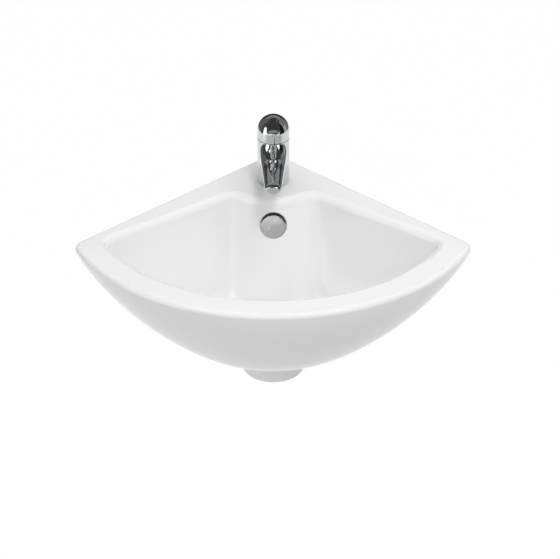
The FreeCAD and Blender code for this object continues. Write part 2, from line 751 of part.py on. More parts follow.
def waste_body():
    """Flanged tube with overflow slots and a three-armed hub inside."""
    bore = size(WASTE_BORE)
    relief_top = size(BACKNUT_FOOT)
    relief_foot = relief_top - size("thread_relief")
    relief_radius = size("waste_thread_radius - thread_relief_depth")
    tube = turned([
        (bore, size(TAIL_END)), (size("waste_thread_radius"), size(TAIL_END)),
        (size("waste_thread_radius"), relief_foot), (relief_radius, relief_foot),
        (relief_radius, relief_top), (size("waste_thread_radius"), relief_top),
        (size("waste_thread_radius"), size(SEAL_TOP)), (size("flange_radius"), size(SEAL_TOP)),
        (size("flange_radius"), size(SEAL_TOP + " + flange_thickness / 3")),
        (size("flange_radius - flange_thickness"), size(FLANGE_TOP)),
        (bore + size("waste_mouth"), size(FLANGE_TOP)), (bore, size(FLANGE_TOP + " - waste_mouth_depth"))])
    middle = size("(%s + %s) / 2" % (CHANNEL_TOP, CHANNEL_FOOT))
    half_height = size("waste_slot_height / 2")
    top = size(HUB_TOP_LEVEL)
    foot = middle - half_height - size("arm_height + hub_drop")
    hub_radius = size(GUIDE_RADIUS + " + hub_wall")
    hub = Part.makeCylinder(hub_radius, top - foot, Vector(0, 0, foot))
    half = size("arm_width / 2")
    reach = bore + size("waste_wall / 2")
    for k in range(3):
        arm = box((0, reach), (-half, half), (foot, foot + size("arm_height")))
        arm.rotate(Vector(0, 0, 0), Vector(0, 0, 1), 120 * k)
        hub = hub.fuse(arm)
    hole = Part.makeCylinder(size(GUIDE_RADIUS + " + thread_clearance"), top - foot, Vector(0, 0, foot))
    half_width = size("waste_slot_width / 2")
    solid = tube.fuse(hub).cut(hole)
    for side in (-1, 1):
        limits = sorted((side * size("waste_thread_radius + 1"), side * half_width))
        slot = box((-half_width, half_width), limits, (middle - half_height, middle + half_height))
        solid = solid.cut(slot)
    item = feature("waste_body", solid.removeSplitter())
    return place(item, "waste_body", OUTLET_Y)


def waste_rings():
    ring("waste_flange_seal", "waste_thread_radius + nut_clearance", "flange_radius - flange_thickness",
         RECESS_LEVEL, SEAL_TOP, OUTLET_Y)
    bore = "(waste_thread_radius + nut_clearance)"
    lathe("waste_gasket", (
        (bore, GASKET_FOOT), ("waste_gasket_radius", GASKET_FOOT),
        ("waste_gasket_radius", GASKET_FOOT + " + waste_gasket_thickness / 3"),
        ("waste_gasket_radius - waste_gasket_taper", SEAT_LEVEL), (bore, SEAT_LEVEL)), OUTLET_Y)
    ring("waste_slip_washer", bore, "waste_gasket_radius", SLIP_FOOT, GASKET_FOOT, OUTLET_Y)
    hex_nut("waste_backnut", "backnut_flats", bore, "backnut_height", OUTLET_Y, BACKNUT_FOOT)


def plug():
    """Push plug: cap, seal, spindle, guide and the spring that lifts it."""
    crown = "(%s + plug_thickness)" % PLUG_FOOT
    lathe("plug_cap", (
        ("spindle_radius", PLUG_FOOT), ("plug_radius", PLUG_FOOT), ("plug_radius", crown),
        *(("plug_radius * %g" % across, crown + " + plug_crown * %g" % up) for across, up in CROWN_STEPS),
        ("0", crown + " + plug_crown"), ("0", crown), ("spindle_radius", crown)), OUTLET_Y)
    seal_outer = "(%s + waste_mouth + plug_seal_width)" % WASTE_BORE
    seal_inner = "(%s + waste_mouth / 2)" % WASTE_BORE
    ring("plug_seal", seal_inner, seal_outer, PLUG_SEAT, PLUG_FOOT, OUTLET_Y)
    lathe("plug_spindle", (
        ("0", SPINDLE_FOOT), ("spindle_radius", SPINDLE_FOOT),
        ("spindle_radius", crown), ("0", crown)), OUTLET_Y)
    base = "(%s + guide_wall)" % GUIDE_FOOT
    lathe("plug_guide", (
        ("0", GUIDE_FOOT), (GUIDE_RADIUS, GUIDE_FOOT), (GUIDE_RADIUS, HUB_TOP_LEVEL),
        (GUIDE_RADIUS + " + hub_wall / 2", HUB_TOP_LEVEL), (GUIDE_RADIUS + " + hub_wall / 2", GUIDE_TOP),
        (GUIDE_BORE, GUIDE_TOP), (GUIDE_BORE, base), ("0", base)), OUTLET_Y)
    ring("plug_spring", "spindle_radius - 2 * spring_wall", "spindle_radius - spring_wall / 2",
         base, SPINDLE_FOOT, OUTLET_Y)


# Tap

def superellipse(width, height, y, level):
    """An upright closed section, fuller than an ellipse, square to the Y axis."""
    points = []
    for k in range(SECTION_POINTS):
        a = 2 * pi * k / SECTION_POINTS
        reach = (abs(cos(a)) ** SECTION_FULLNESS + abs(sin(a)) ** SECTION_FULLNESS) ** (-1 / SECTION_FULLNESS)
        points.append(Vector(width / 2 * reach * cos(a), y, level + height / 2 * reach * sin(a)))
    return closed_wire(points, [k / SECTION_POINTS for k in range(SECTION_POINTS + 1)])


def spout_section(out, share):
    """One section of the spout, that far out from the tap's axis."""
    width = blend(size("spout_root_width"), size("spout_tip_width"), share ** SPOUT_WIDTH_CURVE)
    top = blend(size("spout_root_top"), size("spout_tip_top"), share)
    left = max(0.0, 1 - (out - size("tap_radius")) / size("spout_sweep_run"))
    top += size("spout_sweep") * min(1.0, left) ** SPOUT_SWEEP_CURVE
    bottom = blend(size("spout_root_bottom"), size("spout_tip_bottom"), share ** SPOUT_FOOT_CURVE)
    width_share, cut_off = SPOUT_TIP_SHARES.get(share, (1.0, 0.0))
    cut_off *= size("spout_tip_top - spout_tip_bottom")
    return superellipse(width * width_share, top - bottom - 2 * cut_off, -out, (top + bottom) / 2)


def spout():
    """The tapering spout, from inside the tap's body out to its rounded tip."""
    reach = size("spout_reach")
    root = size("tap_radius")
    wires = [spout_section(root / 2, 0.0)]
    wires += [spout_section(blend(root, reach, share), share) for share in SPOUT_SHARES]
    under_handle = box((-reach, reach), (-2 * reach, 0), (0, size("tap_shoulder")))
    return Part.makeLoft(wires, True, False).common(under_handle)


def tap_body():
    """Body and spout in one casting, with its chamber, inlets and water passage."""
    seat = size("base_gasket_thickness")
    gasket = size("base_gasket_radius + nut_clearance")
    shoulder = size("tap_shoulder")
    barrel = turned([
        (0, -size("spigot_length")), (size("spigot_radius"), -size("spigot_length")),
        (size("spigot_radius"), seat), (gasket, seat), (gasket, 0),
        (size("tap_radius"), 0), (size("tap_radius"), shoulder), (0, shoulder)])
    solid = barrel.fuse(spout())
    up = Vector(0, 0, 1)
    floor = up * size("chamber_floor")
    foot = up * -size("spigot_length")
    cuts = [rod(size("chamber_radius"), floor, up * (shoulder + 1)),
            rod(size("nut_bore_radius"), up * size(NUT_BORE_FLOOR), up * (shoulder + 1))]
    for side in (-1, 1):
        inlet = Vector(side * size("inlet_spread"), size("inlet_setback"), 0)
        cuts.append(rod(size("inlet_radius"), inlet + foot, inlet + foot + up * size("inlet_depth")))
        cuts.append(rod(size("port_radius"), inlet + foot, inlet + floor + up))
    stud = Vector(0, size("stud_setback"), 0)
    stud_top = stud + foot + up * size("stud_engagement")
    cuts.append(rod(size("stud_radius + thread_clearance"), stud + foot, stud_top))
    aerator = Vector(0, -size("aerator_reach"), 0)
    bottom = up * size("spout_tip_bottom")
    cuts.append(rod(size("aerator_radius"), aerator + bottom - up * size("aerator_depth"),
                    aerator + bottom + up * size("aerator_depth")))
    start_level = size(CARTRIDGE_FOOT + " + cartridge_base_thickness / 2")
    start = Vector(0, -size("chamber_radius / 2"), start_level)
    end = aerator + up * size(AERATOR_TOP + " - passage_radius / 2")
    cuts.append(rod(size("passage_radius"), start, end))
    cuts.append(Part.makeSphere(size("passage_radius"), end))
    item = feature("tap_body", solid.cut(cuts).removeSplitter())
    return place(item, "tap_body", TAP_Y)


def tap_fixings():
    """Gasket in the tap's foot, and the stud, horseshoes and nut under the deck."""
    ring("tap_base_gasket", "spigot_radius + nut_clearance", "base_gasket_radius",
         "0", "base_gasket_thickness", TAP_Y)
    stud_y = "(stud_setback - tap_setback)"
    top = "(stud_engagement - spigot_length - nut_clearance)"
    lathe("tap_stud", (
        ("0", "-stud_below_deck"), ("stud_radius", "-stud_below_deck"),
        ("stud_radius", top), ("0", top)), stud_y)
    horseshoe("tap_fixing_gasket", "-deck_thickness - fixing_gasket_thickness", "fixing_gasket_thickness")
    plate = "(-deck_thickness - fixing_gasket_thickness - fixing_plate_thickness)"
    horseshoe("tap_fixing_plate", plate, "fixing_plate_thickness")
    hex_nut("tap_stud_nut", "stud_nut_flats", "stud_radius + nut_clearance", "stud_nut_height",
            stud_y, plate + " - stud_nut_height")


def horseshoe(label, foot, thickness):
    """A round plate under the deck with a hole for the stud and a slot for the pipe tails."""
    body = doc.addObject("PartDesign::Body", label)
    sketch = sketch_on(body, "XY_Plane")
    index = sketch.addGeometry(Part.Circle(Vector(0, 0, 0), Vector(0, 0, 1), size("horseshoe_radius")), False)
    sketch.addConstraint(Sketcher.Constraint("Coincident", index, 3, -1, 1))
    constrain(sketch, "Radius", (index,), "horseshoe_radius")
    pad = body.newObject("PartDesign::Pad", "Pad")
    pad.Profile = sketch
    pad.setExpression("Length", bound(thickness))
    holes(body, (("0", "stud_setback", "stud_radius + nut_clearance * 2"),))
    sketch = sketch_on(body, "XY_Plane")
    half = "horseshoe_slot / 2"
    back = "(stud_setback - stud_radius - horseshoe_web)"
    outline(sketch, (("-" + half, "-horseshoe_radius - 1"), (half, "-horseshoe_radius - 1"),
                     (half, back), ("-" + half, back)))
    slot = body.newObject("PartDesign::Pocket", "Slot")
    slot.Profile = sketch
    slot.Type = "ThroughAll"
    slot.Midplane = True
    return place(body, label, TAP_Y, foot)


def aerator():
    bore = "(aerator_radius - thread_clearance - aerator_wall)"
    shell = "(aerator_radius - thread_clearance)"
    foot = "(spout_tip_bottom - aerator_lip)"
    washer = "(%s - aerator_washer_thickness)" % AERATOR_TOP
    y = "(-tap_setback - aerator_reach)"
    ring("aerator_housing", bore, shell, foot, washer, y)
    ring("aerator_washer", bore + " - aerator_washer_lip", shell, washer, AERATOR_TOP, y)
    item = feature("aerator_insert", aerator_insert(size(bore), size(foot), size(washer)))
    place(item, "aerator_insert", y)


def aerator_insert(bore, foot, top):
    """Plastic flow straightener: a drum with rings of small holes."""
    radius = bore - size("thread_clearance")
    inset = size("aerator_insert_inset")
    drum = Part.makeCylinder(radius, top - foot - 1.5 * inset, Vector(0, 0, foot + inset))
    hole = radius * AERATOR_HOLE
    cuts = []
    for share, count in AERATOR_RINGS:
        for k in range(count):
            a = 2 * pi * k / count
            at = Vector(radius * share * cos(a), radius * share * sin(a), foot)
            cuts.append(Part.makeCylinder(hole, top - foot, at))
    return drum.cut(cuts)


# Cartridge

def port_circles():
    """The two inlets behind the axis and the outlet in front of it."""
    return (("-inlet_spread", "inlet_setback", "port_radius"),
            ("inlet_spread", "inlet_setback", "port_radius"),
            ("0", "-inlet_spread", "port_radius"))


def cartridge():
    seal = ring("cartridge_seal", "port_radius / 2", "chamber_radius - nut_clearance",
                "chamber_floor", CARTRIDGE_FOOT, TAP_Y)
    holes(seal, port_circles())
    lathe("cartridge_housing", (
        ("0", CARTRIDGE_FOOT), ("cartridge_radius", CARTRIDGE_FOOT), ("cartridge_radius", NUT_BORE_FLOOR),
        ("cartridge_neck_radius", NUT_BORE_FLOOR), ("cartridge_neck_radius", CARRIER_TOP),
        ("carrier_radius + running_clearance", CARRIER_TOP),
        ("carrier_radius + running_clearance", CARRIER_SHOULDER + " + disc_clearance"),
        ("disc_room_radius", CARRIER_SHOULDER + " + disc_clearance"),
        ("disc_room_radius", DISC_LEVEL), ("0", DISC_LEVEL)), TAP_Y)
    holes(doc.getObject("cartridge_housing"), port_circles())
    disc = lathe("fixed_disc", (
        ("0", DISC_LEVEL), ("disc_room_radius - disc_clearance", DISC_LEVEL),
        ("disc_room_radius - disc_clearance", DISC_LEVEL + " + fixed_disc_thickness"),
        ("0", DISC_LEVEL + " + fixed_disc_thickness")), TAP_Y)
    holes(disc, port_circles())
    socket = "(ball_radius + socket_clearance)"
    socket_floor = "(%s - ball_radius - socket_room)" % BALL_LEVEL
    shelf = "(%s + moving_disc_thickness)" % MOVING_DISC_LEVEL
    lathe("moving_disc", (
        ("0", MOVING_DISC_LEVEL), ("moving_disc_radius", MOVING_DISC_LEVEL), ("moving_disc_radius", shelf),
        ("hub_radius", shelf), ("hub_radius", HUB_TOP), (socket, HUB_TOP), (socket, socket_floor),
        ("0", socket_floor)), TAP_Y)
    ring("cartridge_nut", "cartridge_neck_radius + nut_clearance", "nut_bore_radius - nut_clearance",
         NUT_BORE_FLOOR, NUT_BORE_FLOOR + " + cartridge_nut_height", TAP_Y)


def lever_carrier():
    """Turning carrier with a slot for the stem and a cross hole for its pin."""
    foot = size(CARRIER_FOOT)
    top = size(CARRIER_TOP)
    shoulder = size(CARRIER_SHOULDER)
    pivot = size("pivot_height")
    swing = tan(radians(size("lift_angle")))
    gap = size("socket_clearance")
    radius = size("carrier_radius")
    flange = size("carrier_flange_radius")
    solid = turned([(0, foot), (flange, foot), (flange, shoulder),
                    (radius, shoulder), (radius, top), (0, top)])
    half = size("paddle_width / 2") + gap
    length = size("paddle_depth / 2") + size("carrier_top") * swing + gap
    room = size("hub_radius") + size("ball_arm") * swing + gap
    cuts = (box((-half, half), (-length, length), (foot, top)),
            Part.makeCylinder(room, size(HUB_TOP) + gap - foot, Vector(0, 0, foot)),
            rod(size("pin_radius"), Vector(-radius, 0, pivot), Vector(radius, 0, pivot)))
    item = feature("lever_carrier", solid.cut(cuts))
    place(item, "lever_carrier", TAP_Y)
    end = Vector(radius - gap, 0, 0)
    level = Vector(0, 0, pivot)
    pin = rod(size("pin_radius - running_clearance / 2"), level - end, level + end)
    place(feature("stem_pin", pin), "stem_pin", TAP_Y)


def lever_stem():
    """Square stem, flat paddle through the carrier and a ball that moves the disc."""
    pivot = size("pivot_height")
    half = size("stem_width / 2")
    lift = radians(size("lift_angle"))
    neck = pivot + (size("carrier_top + socket_clearance") + half * sin(lift)) / cos(lift)
    stem = box((-half, half), (-half, half), (neck, pivot + size("stem_top")))
    across = size("paddle_width / 2")
    along = size("paddle_depth / 2")
    paddle = box((-across, across), (-along, along), (pivot - along, neck))
    ball_level = size(BALL_LEVEL)
    shank = Part.makeCylinder(size("shank_radius"), pivot - along - ball_level, Vector(0, 0, ball_level))
    ball = Part.makeSphere(size("ball_radius"), Vector(0, 0, ball_level))
    hole = rod(size("pin_radius + running_clearance / 2"), Vector(-half, 0, pivot), Vector(half, 0, pivot))
    solid = stem.fuse([paddle, shank, ball]).cut(hole).removeSplitter()
    place(feature("lever_stem", solid), "lever_stem", TAP_Y)


# Collar and handle

def tap_collar():
    """Domed collar over the cartridge, round about the lever's pivot."""
    pivot = size("pivot_height")
    centre = Vector(0, 0, pivot)
    shoulder = size("tap_shoulder")
    dome = Part.makeSphere(size("collar_radius"), centre).cut(
        Part.makeSphere(size("collar_radius - collar_wall"), centre))
    reach = size("collar_radius + 1")
    dome = dome.common(box((-reach, reach), (-reach, reach), (shoulder, pivot + reach)))
    dome = dome.cut(Part.makeCylinder(size("collar_mouth"), 2 * reach, centre))
    outer = size("nut_bore_radius - nut_clearance")
    spigot_foot = size(NUT_BORE_FLOOR + " + cartridge_nut_height + nut_clearance")
    inner = sqrt(size("collar_radius - collar_wall") ** 2 - (shoulder - pivot) ** 2) - size("collar_lap")
    top = shoulder + size("collar_lap")
    spigot = turned([(inner, spigot_foot), (outer, spigot_foot), (outer, top), (inner, top)])
    place(feature("tap_collar", dome.fuse(spigot).removeSplitter()), "tap_collar", TAP_Y)


def dome_solid(radius, foot):
    """An upright cylinder closed by a half sphere at the handle's dome centre."""
    centre = size("dome_centre")
    return Part.makeCylinder(radius, centre - foot, Vector(0, 0, foot)).fuse(
        Part.makeSphere(radius, Vector(0, 0, centre), Vector(0, 0, 1), 0, 90))


def lever():
    """The tongue that grows out of the dome's crown, towards the front."""
    reach = size("lever_reach")
    level = size("lever_top - lever_thickness / 2")
    wires = []
    for share, width_share, thickness_share in LEVER_SECTIONS:
        width = size("lever_width") * width_share
        wires.append(superellipse(width, size("lever_thickness") * thickness_share, -reach * share, level))
    return Part.makeLoft(wires, True, False)


def tap_handle():
    """Dome, lever and stem socket in one casting, relieved at the back so it can tilt."""
    pivot = Vector(0, 0, size("pivot_height"))
    foot = size("tap_shoulder + handle_gap")
    radius = size("tap_radius")
    outer = dome_solid(radius, foot)
    solid = outer.cut(dome_solid(size("tap_radius - dome_wall"), foot - 1))
    boss_top = size("dome_centre") + radius - size("dome_wall")
    boss = Part.makeCylinder(size("socket_boss_radius"), boss_top - foot, Vector(0, 0, foot))
    solid = solid.fuse(boss).fuse(lever())
    half = size("stem_width / 2 + thread_clearance")
    socket_top = pivot.z + size("stem_top + thread_clearance")
    screw_level = pivot.z + size("screw_height")
    back = Vector(0, 2 * radius, screw_level)
    relief = box((-2 * radius, 2 * radius), (-3 * radius, 3 * radius), (-2 * radius, foot))
    relief.rotate(pivot, Vector(1, 0, 0), size("lift_angle"))
    plug_start = sqrt(size("tap_radius - dome_wall") ** 2 - (screw_level - size("dome_centre")) ** 2)
    cuts = (Part.makeSphere(size("collar_radius + collar_gap"), pivot),
            box((-half, half), (-half, half), (foot, socket_top)),
            rod(size("screw_radius + thread_clearance"), Vector(0, 0, screw_level), back),
            rod(size("handle_plug_radius + thread_clearance"), Vector(0, plug_start - 1, screw_level), back),
            relief.common(box((-2 * radius, 2 * radius), (0, 3 * radius), (-2 * radius, 4 * radius))))
    place(feature("tap_handle", solid.cut(cuts).removeSplitter()), "tap_handle", TAP_Y)
    start = Vector(0, size("stem_width / 2 + thread_clearance"), screw_level)
    screw = rod(size("screw_radius"), start, start + Vector(0, size("screw_length"), 0))
    place(feature("handle_screw", screw), "handle_screw", TAP_Y)
    start = Vector(0, plug_start - size("handle_plug_sink"), screw_level)
    end = start + Vector(0, size("handle_plug_length"), 0)
    cover = rod(size("handle_plug_radius"), start, end).common(outer)
    place(feature("handle_plug", cover), "handle_plug", TAP_Y)


def build():
    basin_body()
    overflow_cap()
    overflow_grommet()
    waste_body()
    waste_rings()
    plug()
    tap_body()
    tap_fixings()
    aerator()
    cartridge()
    lever_carrier()
    lever_stem()
    tap_collar()
    tap_handle()


def pieces():
    return [item for item in doc.Objects
            if item.isDerivedFrom("PartDesign::Body") or item.TypeId == "Part::Feature"]


def check_and_write():
    """Refuse to write anything unless every object and every shape is sound."""
    doc.recompute()
    for item in doc.Objects:
        if "Invalid" in item.State or "Error" in item.State:
            raise RuntimeError("%s did not compute" % item.Label)
    for item in pieces():
        if item.Shape.isNull() or not item.Shape.isValid():
            raise RuntimeError("%s has no valid shape" % item.Label)
    os.makedirs("parts", exist_ok=True)
    for item in pieces():
        item.Shape.exportStep("parts/%s.step" % item.Label)
        volume = item.Shape.Volume / 1000
        print("%-20s %d solid(s) %9.2f cm3" % (item.Label, len(item.Shape.Solids), volume))


build()
check_and_write()
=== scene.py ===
"""Looks of the wall-hung corner basin: white glaze, chrome tap, overflow cap and push waste.

Every size is in metres. Origin: the line where the two walls meet, level with the deck.
+X runs to the right, +Y into the corner, +Z up.
"""

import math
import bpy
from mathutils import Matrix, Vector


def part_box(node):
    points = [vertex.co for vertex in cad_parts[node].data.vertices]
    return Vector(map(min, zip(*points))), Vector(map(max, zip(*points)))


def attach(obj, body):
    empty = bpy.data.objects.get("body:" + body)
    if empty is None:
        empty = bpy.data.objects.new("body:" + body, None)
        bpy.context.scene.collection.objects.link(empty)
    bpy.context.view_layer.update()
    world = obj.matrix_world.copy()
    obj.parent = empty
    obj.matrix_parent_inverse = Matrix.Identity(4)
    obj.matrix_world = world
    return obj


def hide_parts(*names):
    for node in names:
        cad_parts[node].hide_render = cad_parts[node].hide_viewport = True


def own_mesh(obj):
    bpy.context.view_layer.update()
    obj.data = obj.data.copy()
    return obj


bl_info = {
    "name": "Corner Basin",
    "version": (1, 0, 0),
    "blender": (4, 5, 0),
    "location": "View3D > Sidebar > Basin",
    "description": "Dresses a wall-hung corner basin with glaze, chrome and its fittings",
    "category": "Object",
}

import bmesh
import bpy
from bpy.props import FloatProperty, FloatVectorProperty, IntProperty, PointerProperty
from bpy.types import Operator, Panel, PropertyGroup
from mathutils import Matrix, Vector

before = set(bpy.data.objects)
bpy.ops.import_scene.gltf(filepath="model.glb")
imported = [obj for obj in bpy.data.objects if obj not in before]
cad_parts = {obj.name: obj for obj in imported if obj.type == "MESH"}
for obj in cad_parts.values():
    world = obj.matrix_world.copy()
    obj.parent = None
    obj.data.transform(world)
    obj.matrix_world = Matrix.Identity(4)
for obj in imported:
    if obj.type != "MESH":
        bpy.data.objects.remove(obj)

# Upright axes of the tap and of the outlet
TAP_AXIS = Vector((0.0, -0.078))
OUTLET_AXIS = Vector((0.0, -0.228))

# Points closer than this become one
WELD = 0.0000005

# Thread on the waste's tail: radius at its root, just inside the plain tail, height of its ridge, pitch
TAIL_RADIUS = 0.0209
TAIL_TOOTH = 0.00035
TAIL_PITCH = 0.0023

# A thread's ridge: half its width at the root and at the crest, as shares of the pitch, and the
# share of its height that it starts and ends with
RIDGE_ROOT = 0.45
RIDGE_CREST = 0.08
RIDGE_START = 0.05

# Thread on the tap's stud: pitch, and how far above the stud's foot it begins
STUD_PITCH = 0.001
STUD_LEAD = 0.0005

# Pressed overflow cap: sheet, edge round, inner outline as a share of the outer one, depth to its
# seat, radius of its tail, length of the tail's grip in the hole
CAP_WALL = 0.0008
CAP_EDGE = 0.0006
CAP_INNER = 0.93
CAP_DEPTH = 0.0032
CAP_TAIL = 0.0102
CAP_GRIP = 0.006

# Its facets: sides all round, rings on its face, steps in its edge round
CAP_SIDES = 96
CAP_RINGS = 10
CAP_ROUND_STEPS = 4

# Rounded top of the cap's rim: how far in from its edge and how far down each point lies
CAP_LIP = ((0.0, 0.0006), (0.0001, 0.0003), (0.0004, 0.0002), (0.0007, 0.0003), (CAP_WALL, 0.0006))

# Spring: points in a turn, half as many as in a thread's, sides of the wire, the part of each end
# turn that is closed up, and the share of the height that the wire climbs evenly
COIL_STEPS = 24
WIRE_SIDES = 10
END_TURN = 0.9
END_CLIMB = 0.06

# Soft noise seldom leaves this range
NOISE_LOW = 0.3
NOISE_HIGH = 0.7

WHITE = (1.0, 1.0, 1.0, 1.0)

# Floor: half its width, the strength of the white that the camera and polish see in place of it,
# and how much of its own look that white covers
FLOOR_HALF = 20.0
FLOOR_WHITE = 1.02
FLOOR_COVER = 0.94

# What lamps and screens stand round, and what the lamps face
STUDIO_MIDDLE = Vector((0.0, -0.12, 0.0))
LAMP_TARGET = Vector((0.0, -0.18, -0.03))

# Lamps: name, azimuth and elevation in degrees, distance, width, height, share of the key power
LAMPS = (
    ("key_softbox", 22, 58, 2.0, 0.5, 0.7, 0.78),
    ("key_spot", 21, 58, 2.0, 0.14, 0.14, 0.22),
    ("side_softbox", 70, 50, 2.0, 0.9, 0.9, 0.34),
    ("low_lamp", -48, 5, 2.0, 1.2, 0.8, 0.24),
    ("front_lamp", 0, 30, 2.0, 1.2, 0.9, 0.18),
    ("deck_lamp", 180, 60, 0.5, 0.5, 0.3, 0.030),
)

# Widest facet of a screen, in degrees
SCREEN_STEP = 9.0

# Screens that polish mirrors: name, azimuths and elevations in degrees, reach, brightness
SCREENS = (
    ("rear_screen", (146, 214), (-12, 32), 1.6, 0.05),
    ("rear_header", (140, 220), (32, 56), 1.6, 0.30),
    ("rear_left", (214, 262), (-12, 56), 1.6, 0.15),
    ("rear_right", (110, 146), (-12, 56), 1.6, 0.20),
    ("left_corner", (262, 285), (-15, 56), 1.6, 0.07),
    ("left_window", (285, 320), (-28, 30), 1.6, 1.55),
    ("left_header", (285, 320), (30, 56), 1.6, 0.06),
    ("front_header", (320, 405), (40, 56), 1.6, 0.06),
    ("right_screen", (45, 84), (-12, 56), 1.6, 0.015),
    ("right_window", (84, 110), (-12, 20), 1.6, 0.5),
    ("right_header", (84, 110), (20, 56), 1.6, 0.25),
    ("ceiling", (0, 360), (56, 90), 1.6, 0.06),
    ("low_right", (8, 45), (2, 40), 1.6, 0.22),
    ("left_softbox", (300, 332), (44, 60), 1.5, 2.2),
    ("right_softbox", (15, 42), (44, 60), 1.5, 2.8),
    ("left_strip", (324, 346), (65, 74), 1.5, 1.6),
    ("right_strip", (2, 20), (65, 74), 1.5, 1.6),
)


# Settings


class BASIN_PG_china(PropertyGroup):
    """Glazed vitreous china of the basin"""

    glaze: FloatVectorProperty(
        name="Glaze",
        description="Colour of the white glaze",
        subtype="COLOR",
        size=3,
        min=0.0,
        max=1.0,
        default=(0.86, 0.862, 0.86),
    )
    clay: FloatVectorProperty(
        name="Bare clay",
        description="Colour of the unglazed faces against the walls",
        subtype="COLOR",
        size=3,
        min=0.0,
        max=1.0,
        default=(0.74, 0.70, 0.63),
    )
    roughness: FloatProperty(
        name="Roughness",
        description="Roughness of the fired glaze",
        subtype="FACTOR",
        min=0.0,
        max=1.0,
        default=0.07,
    )
    ripple: FloatProperty(
        name="Ripple",
        description="Width of the shallow waves that firing leaves in the glaze",
        subtype="DISTANCE",
        unit="LENGTH",
        min=0.001,
        default=0.012,
    )


class BASIN_PG_metal(PropertyGroup):
    """Chrome, brass and steel of the tap and the waste"""

    chrome: FloatVectorProperty(
        name="Chrome",
        description="Colour of the chrome plating",
        subtype="COLOR",
        size=3,
        min=0.0,
        max=1.0,
        default=(0.63, 0.64, 0.65),
    )
    chrome_roughness: FloatProperty(
        name="Chrome roughness",
        description="Roughness of the polished chrome",
        subtype="FACTOR",
        min=0.0,
        max=1.0,
        default=0.05,
    )
    brass: FloatVectorProperty(
        name="Brass",
        description="Colour of the bare turned brass",
        subtype="COLOR",
        size=3,
        min=0.0,
        max=1.0,
        default=(0.72, 0.52, 0.25),
    )
    steel: FloatVectorProperty(
        name="Steel",
        description="Colour of the zinc-plated and stainless steel",
        subtype="COLOR",
        size=3,
        min=0.0,
        max=1.0,
        default=(0.52, 0.53, 0.54),
    )
    cap_crown: FloatProperty(
        name="Cap crown",
        description="How far the overflow cap's face swells at its middle",
        subtype="DISTANCE",
        unit="LENGTH",
        min=0.0,
        default=0.0007,
    )
    cap_slot: FloatProperty(
        name="Cap slot",
        description="Widest part of the crescent slot at the cap's top",
        subtype="DISTANCE",
        unit="LENGTH",
        min=0.001,
        default=0.0042,
    )
    spring_wire: FloatProperty(
        name="Spring wire",
        description="Thickness of the plug spring's wire",
        subtype="DISTANCE",
        unit="LENGTH",
        min=0.0002,
        default=0.0009,
    )
    spring_turns: IntProperty(
        name="Spring turns",
        description="Turns of the plug's spring",
        min=3,
        max=20,
        default=8,
    )


class BASIN_PG_soft(PropertyGroup):
    """Rubber seals and moulded plastic"""

    rubber: FloatVectorProperty(
        name="Rubber",
        description="Colour of the seals and gaskets",
        subtype="COLOR",
        size=3,
        min=0.0,
        max=1.0,
        default=(0.022, 0.022, 0.023),
    )
    plastic: FloatVectorProperty(
        name="Plastic",
        description="Colour of the moulded plastic",
        subtype="COLOR",
        size=3,
        min=0.0,
        max=1.0,
        default=(0.62, 0.63, 0.62),
    )
    ceramic: FloatVectorProperty(
        name="Disc ceramic",
        description="Colour of the cartridge's ground ceramic discs",
        subtype="COLOR",
        size=3,
        min=0.0,
        max=1.0,
        default=(0.78, 0.75, 0.70),
    )


class BASIN_PG_studio(PropertyGroup):
    """Camera, floor and lamps"""

    camera_place: FloatVectorProperty(
        name="Camera",
        description="Where the camera stands",
        subtype="TRANSLATION",
        unit="LENGTH",
        size=3,
        default=(0.00806, -1.71329, 0.88111),
    )
    camera_dip: FloatProperty(
        name="Camera dip",
        description="How far the camera looks down",
        subtype="ANGLE",
        unit="ROTATION",
        default=math.radians(32.0856),
    )
    focal_length: FloatProperty(
        name="Focal length",
        description="Focal length on a 36 mm sensor",
        unit="CAMERA",
        min=10.0,
        default=96.43,
    )
    floor_drop: FloatProperty(
        name="Floor",
        description="Deck of the basin down to the studio floor",
        subtype="DISTANCE",
        unit="LENGTH",
        min=0.3,
        default=2.0,
    )
    key_power: FloatProperty(
        name="Key power",
        description="Power of the softbox and spot at the front right together, which the others follow",
        unit="POWER",
        min=0.0,
        default=13.0,
    )
    room_light: FloatProperty(
        name="Room light",
        description="Strength of the even light from all round",
        min=0.0,
        default=0.60,
    )


# Shader helpers


def finish_tree(name):
    """A new material, its node tree and its main shader."""
    material = bpy.data.materials.new(name)
    material.use_nodes = True
    tree = material.node_tree
    return material, tree, tree.nodes["Principled BSDF"]


def add(tree, kind, inputs=None, **settings):
    """A node of that kind, with its inputs set to values or linked to other nodes' outputs."""
    made = tree.nodes.new("ShaderNode" + kind)
    for key, value in settings.items():
        setattr(made, key, value)
    for socket, value in (inputs or {}).items():
        if isinstance(value, bpy.types.NodeSocket):
            tree.links.new(value, made.inputs[socket])
        else:
            made.inputs[socket].default_value = value
    return made


def place_of(tree):
    """Each point's own place, in metres, which moves with the piece."""
    return add(tree, "TexCoord").outputs["Object"]


def cloud(tree, place, width, detail=3.0):
    """Soft noise whose patches are about that wide."""
    scale = 1.0 / width
    return add(tree, "TexNoise", {"Vector": place, "Scale": scale, "Detail": detail}).outputs["Fac"]


def remap(tree, value, low, high, to_low, to_high):
    """A value's range moved to another range."""
    inputs = {"Value": value, "From Min": low, "From Max": high, "To Min": to_low, "To Max": to_high}
    return add(tree, "MapRange", inputs).outputs["Result"]


